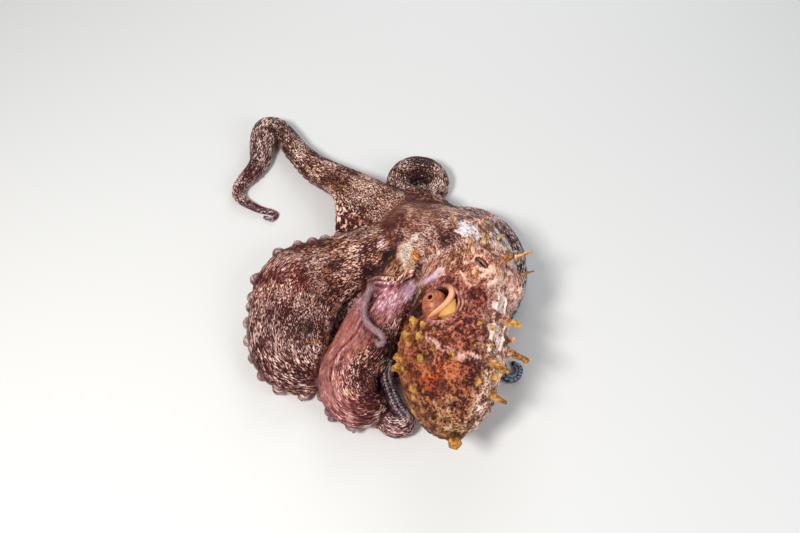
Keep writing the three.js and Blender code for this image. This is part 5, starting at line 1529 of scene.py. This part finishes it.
def skin_material():
    k = Nodes("octopus_skin")
    tone_ = k.attribute("tone")
    bare, netted = k.attribute("bare"), k.attribute("netted")
    grain = k.noise(1.2, 3.0, 0.6)
    speck = k.noise(0.55, 2.0, 0.6)
    lines = [k.noise(0, 1.0, 0.5, 0.35, vector=k.new("ShaderNodeAttribute", attribute_name=n).outputs["Vector"])
             for n in ("flow_even", "flow_odd")]
    lines = k.math("ADD", k.math("MULTIPLY", lines[0], k.math("SUBTRACT", 1.0, k.attribute("odd_share"))),
                   k.math("MULTIPLY", lines[1], k.attribute("odd_share")))
    lines = k.math("SUBTRACT", k.ramp(lines, 0.30, 0.70), 0.5)   # -0.5 to 0.5, long and thin
    dots = k.ramp(k.voronoi(1.15), 0.16, 0.40)                 # 0 in small dark dots
    live = k.math("SUBTRACT", 1.0, k.math("MULTIPLY", bare, 0.75))
    cells_ = k.ramp(k.voronoi(1.9), 0.10, 0.66)                # 0 in the larger dark cells of the net
    lined = k.attribute("sure")
    v = k.math("ADD", tone_, k.math("MULTIPLY", lines, k.math("MULTIPLY", k.math("MULTIPLY", live, lined), 1.15)))
    v = k.math("ADD", v, k.math("MULTIPLY", k.math("SUBTRACT", grain, 0.5),
                             k.math("MULTIPLY", live, k.math("ADD", 0.30, k.math("MULTIPLY", netted, 0.55)))))
    v = k.math("ADD", v, k.math("MULTIPLY", k.math("SUBTRACT", speck, 0.5), k.math("MULTIPLY", live, 0.26)))
    v = k.math("ADD", v, k.math("MULTIPLY", k.math("SUBTRACT", dots, 0.82),
                             k.math("MULTIPLY", live, 0.20)))
    v = k.math("ADD", v, k.math("MULTIPLY", k.math("SUBTRACT", cells_, 0.56),
                             k.math("MULTIPLY", live, k.math("MULTIPLY", netted, 0.62))))
    col = k.mix(k.ramp(v, 0.24, 0.52), k.attribute("dark", True), k.attribute("middle", True))
    col = k.mix(k.ramp(v, 0.63, 0.86), col, k.attribute("light", True))
    # the brightest flecks are cream
    col = k.mix(k.math("MULTIPLY", k.ramp(v, 0.88, 1.08), k.attribute("cream_share")), col, k.attribute("cream", True))
    # a few orange colour cells in the darker skin
    fleck = k.math("MULTIPLY", k.ramp(k.noise(3.0, 2.0, 0.5), 0.57, 0.65), k.ramp(k.noise(17.0, 1.0), 0.44, 0.60))
    fleck = k.math("MULTIPLY", fleck, k.math("MULTIPLY", live, k.attribute("orange")))
    col = k.mix(fleck, col, tuple(lin((190, 118, 62))))
    # painted shade and light: the shade attribute darkens hollows, furrows and skin near the floor and lightens ridges
    sh = k.new("ShaderNodeCombineColor")
    s_ = k.attribute("shade")
    for socket in sh.inputs[:3]:
        k.link(s_, socket)
    col = k.mix(0.9, col, sh.outputs[0], "MULTIPLY")
    k.link(col, k.bsdf.inputs["Base Color"])
    rough = k.math("ADD", k.math("MULTIPLY", grain, 0.28), 0.42)
    rough = k.math("SUBTRACT", rough, k.math("MULTIPLY", bare, 0.08))
    k.link(rough, k.bsdf.inputs["Roughness"])
    k.bsdf.inputs["Specular IOR Level"].default_value = 0.26
    k.bsdf.inputs["Subsurface Weight"].default_value = 0.05
    k.bsdf.inputs["Subsurface Radius"].default_value = (1.0, 0.35, 0.25)
    k.bsdf.inputs["Subsurface Scale"].default_value = 0.0022
    h = k.math("ADD", k.math("MULTIPLY", grain, 0.7), k.math("MULTIPLY", speck, 0.35))
    h = k.math("ADD", h, k.math("MULTIPLY", k.ramp(k.voronoi(0.9), 0.0, 0.6), 0.30))
    h = k.math("ADD", h, k.math("MULTIPLY", tone_, 0.25))
    h = k.math("ADD", h, k.math("MULTIPLY", lines, k.math("MULTIPLY", lined, 0.8)))
    h = k.math("MULTIPLY", h, k.math("SUBTRACT", 1.0, k.math("MULTIPLY", bare, 0.55)))
    k.link(k.bump(h, 0.55, 0.8), k.bsdf.inputs["Normal"])
    return k.mat


def sucker_material():
    k = Nodes("sucker")
    rim, depth, tint, own = (k.attribute(n) for n in ("rim", "depth", "tint", "own"))
    grain = k.noise(0.6, 3.0)
    wall = k.mix(k.ramp(k.noise(2.0, 2.0), 0.35, 0.65), tuple(lin((112, 82, 92))), tuple(lin((158, 126, 134))))
    disc = k.mix(k.ramp(grain, 0.3, 0.7), tuple(lin((166, 134, 136))), tuple(lin((206, 176, 174))))
    col = k.mix(k.ramp(depth, 0.30, 0.52), wall, disc)
    # painted shade: the middle of each cup, its hollow, goes dark mauve
    col = k.mix(k.ramp(depth, 0.74, 1.0), col, tuple(lin((92, 56, 64))))
    # tinted cups: pale blue rim and dark blue middle; the blue is painted shade as in deep water and the dark middle
    # painted shade in the hollow
    blue = k.mix(k.ramp(depth, 0.74, 1.0), tuple(lin((178, 202, 218))), tuple(lin((50, 66, 84))))
    col = k.mix(k.math("MULTIPLY", tint, 0.85), col, blue)
    col = k.mix(k.math("MULTIPLY", own, 0.30), col, tuple(lin((118, 84, 92))))
    k.link(col, k.bsdf.inputs["Base Color"])
    k.link(k.math("ADD", k.math("MULTIPLY", grain, 0.2), 0.34), k.bsdf.inputs["Roughness"])
    k.bsdf.inputs["Specular IOR Level"].default_value = 0.45
    k.bsdf.inputs["Subsurface Weight"].default_value = 0.08
    k.bsdf.inputs["Subsurface Radius"].default_value = (1.0, 0.4, 0.35)
    k.bsdf.inputs["Subsurface Scale"].default_value = 0.0015
    k.link(k.bump(grain, 0.2, 0.7), k.bsdf.inputs["Normal"])
    return k.mat


def funnel_material(name, dark_, mid_, light_, extra=None):
    k = Nodes(name)
    grain = k.noise(1.1, 3.0, 0.6)
    wide = k.noise(5.0, 2.0, 0.5)
    v = k.math("ADD", k.math("MULTIPLY", grain, 0.45), k.math("MULTIPLY", wide, 0.55))
    col = k.mix(k.ramp(v, 0.34, 0.52), tuple(lin(dark_)), tuple(lin(mid_)))
    col = k.mix(k.ramp(v, 0.50, 0.68), col, tuple(lin(light_)))
    if extra == "hole":
        col = k.mix(k.math("MULTIPLY", k.attribute("rim"), 0.5), col, tuple(lin((206, 122, 84))))
        # painted shade: the funnel's pit is coloured nearly black
        col = k.mix(k.attribute("hole"), col, tuple(lin((34, 10, 8))))
    elif extra:
        # raised parts take the given paler colour: painted light on ridges and painted shade deeper down
        lo, hi, c = extra
        col = k.mix(k.ramp(k.attribute("rise"), lo, hi), col, tuple(lin(c)))
    k.link(col, k.bsdf.inputs["Base Color"])
    k.link(k.math("ADD", k.math("MULTIPLY", grain, 0.22), 0.26), k.bsdf.inputs["Roughness"])
    k.bsdf.inputs["Specular IOR Level"].default_value = 0.5
    k.bsdf.inputs["Subsurface Weight"].default_value = 0.12
    k.bsdf.inputs["Subsurface Radius"].default_value = (1.0, 0.4, 0.2)
    k.bsdf.inputs["Subsurface Scale"].default_value = 0.002
    k.link(k.bump(v, 0.5, 0.6), k.bsdf.inputs["Normal"])
    return k.mat


def eye_material():
    k = Nodes("eye")
    fibre = k.noise(0.5, 3.0, 0.6, 0.6)
    fleck = k.noise(1.2, 2.0, 0.6)
    iris = k.mix(k.ramp(fibre, 0.36, 0.62), tuple(lin((70, 20, 16))), tuple(lin((146, 66, 48))))
    iris = k.mix(k.math("MULTIPLY", k.ramp(fleck, 0.56, 0.66), 0.6), iris, tuple(lin((206, 146, 104))))
    white = k.mix(k.ramp(fleck, 0.40, 0.60), tuple(lin((132, 84, 66))), tuple(lin((176, 128, 104))))
    col = k.mix(k.attribute("iris"), white, iris)
    col = k.mix(k.math("MULTIPLY", k.attribute("edge"), 0.75), col, tuple(lin((214, 168, 138))))
    col = k.mix(k.attribute("pupil"), col, tuple(lin((6, 5, 8))))
    k.link(col, k.bsdf.inputs["Base Color"])
    k.bsdf.inputs["Roughness"].default_value = 0.14
    k.bsdf.inputs["Specular IOR Level"].default_value = 0.6
    k.link(k.bump(fibre, 0.12, 0.5), k.bsdf.inputs["Normal"])
    return k.mat


skin.data.materials.append(skin_material())
suckers.data.materials.append(sucker_material())
funnel.data.materials.append(funnel_material("funnel_skin", (132, 62, 42), (176, 98, 64), (206, 132, 94), "hole"))
# painted highlight: the flap's raised ridges take a paler colour
flap_piece.data.materials.append(funnel_material("flap_skin", (158, 82, 54), (206, 124, 84), (232, 164, 122), (0.8, 2.4, (238, 176, 136))))
# painted shade: the lining darkens deeper in the opening and shows its own yellow on its crests
lining_piece.data.materials.append(funnel_material("lining_skin", (138, 80, 42), (186, 124, 62), (218, 160, 88), (-2.0, 0.6, (222, 166, 92))))
eye_mat = eye_material()
for o in eye_pieces.values():
    o.data.materials.append(eye_mat)

FUNNEL_NODES = {"funnel": funnel, "funnel_flap": flap_piece, "funnel_lining": lining_piece}
for name, piece in {**FUNNEL_NODES, **eye_pieces}.items():
    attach(piece, "root")
    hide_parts(name)
FLESH = [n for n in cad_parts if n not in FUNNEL_NODES and n not in eye_pieces]
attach(skin, "root")
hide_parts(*FLESH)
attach(suckers, "root")

# ------------------------------------------------------------------ stage
floor_me = bpy.data.meshes.new("floor")
R = 3.0
floor_me.from_pydata([(-R, -R, 0), (R, -R, 0), (R, R, 0), (-R, R, 0)], [], [(0, 1, 2, 3)])
floor = bpy.data.objects.new("floor", floor_me)
bpy.context.scene.collection.objects.link(floor)
fm = bpy.data.materials.new("floor")
fm.use_nodes = True
fb = fm.node_tree.nodes["Principled BSDF"]
fb.inputs["Base Color"].default_value = (0.80, 0.80, 0.79, 1)
fb.inputs["Roughness"].default_value = 0.9
fb.inputs["Specular IOR Level"].default_value = 0.2
floor.data.materials.append(fm)

world = bpy.data.worlds.new("studio")
world.use_nodes = True
world.node_tree.nodes["Background"].inputs["Color"].default_value = (0.93, 0.96, 1.0, 1)
world.node_tree.nodes["Background"].inputs["Strength"].default_value = 0.24
bpy.context.scene.world = world


def area(name, loc, target, size, power, color=(1, 1, 1)):
    li = bpy.data.lights.new(name, "AREA")
    li.energy, li.size, li.color = power, size, color
    ob = bpy.data.objects.new(name, li)
    ob.location = loc
    ob.rotation_euler = (Vector(target) - Vector(loc)).to_track_quat("-Z", "Y").to_euler()
    bpy.context.scene.collection.objects.link(ob)


area("key", (-0.42, -0.42, 0.82), (-0.02, -0.02, 0.02), 0.20, 7.6, (1.0, 0.97, 0.93))
area("fill", (0.6, -0.35, 0.55), (0, -0.02, 0.02), 0.5, 2.2, (0.93, 0.97, 1.0))
area("back", (0.1, 0.75, 0.5), (0, 0, 0.03), 0.5, 2.4, (0.95, 0.98, 1.0))

cam_data = bpy.data.cameras.new("camera")
cam_data.sensor_width = 36.0
cam_data.lens = 35.0
cam_data.clip_start, cam_data.clip_end = 0.01, 20
cam = bpy.data.objects.new("camera", cam_data)
cam.location = (-0.0200, -0.3142, 0.5371)
cam.rotation_euler = (math.radians(30), 0, 0)
bpy.context.scene.collection.objects.link(cam)
bpy.context.scene.camera = cam
bpy.context.scene.view_settings.view_transform = "Standard"

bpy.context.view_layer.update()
log("done")
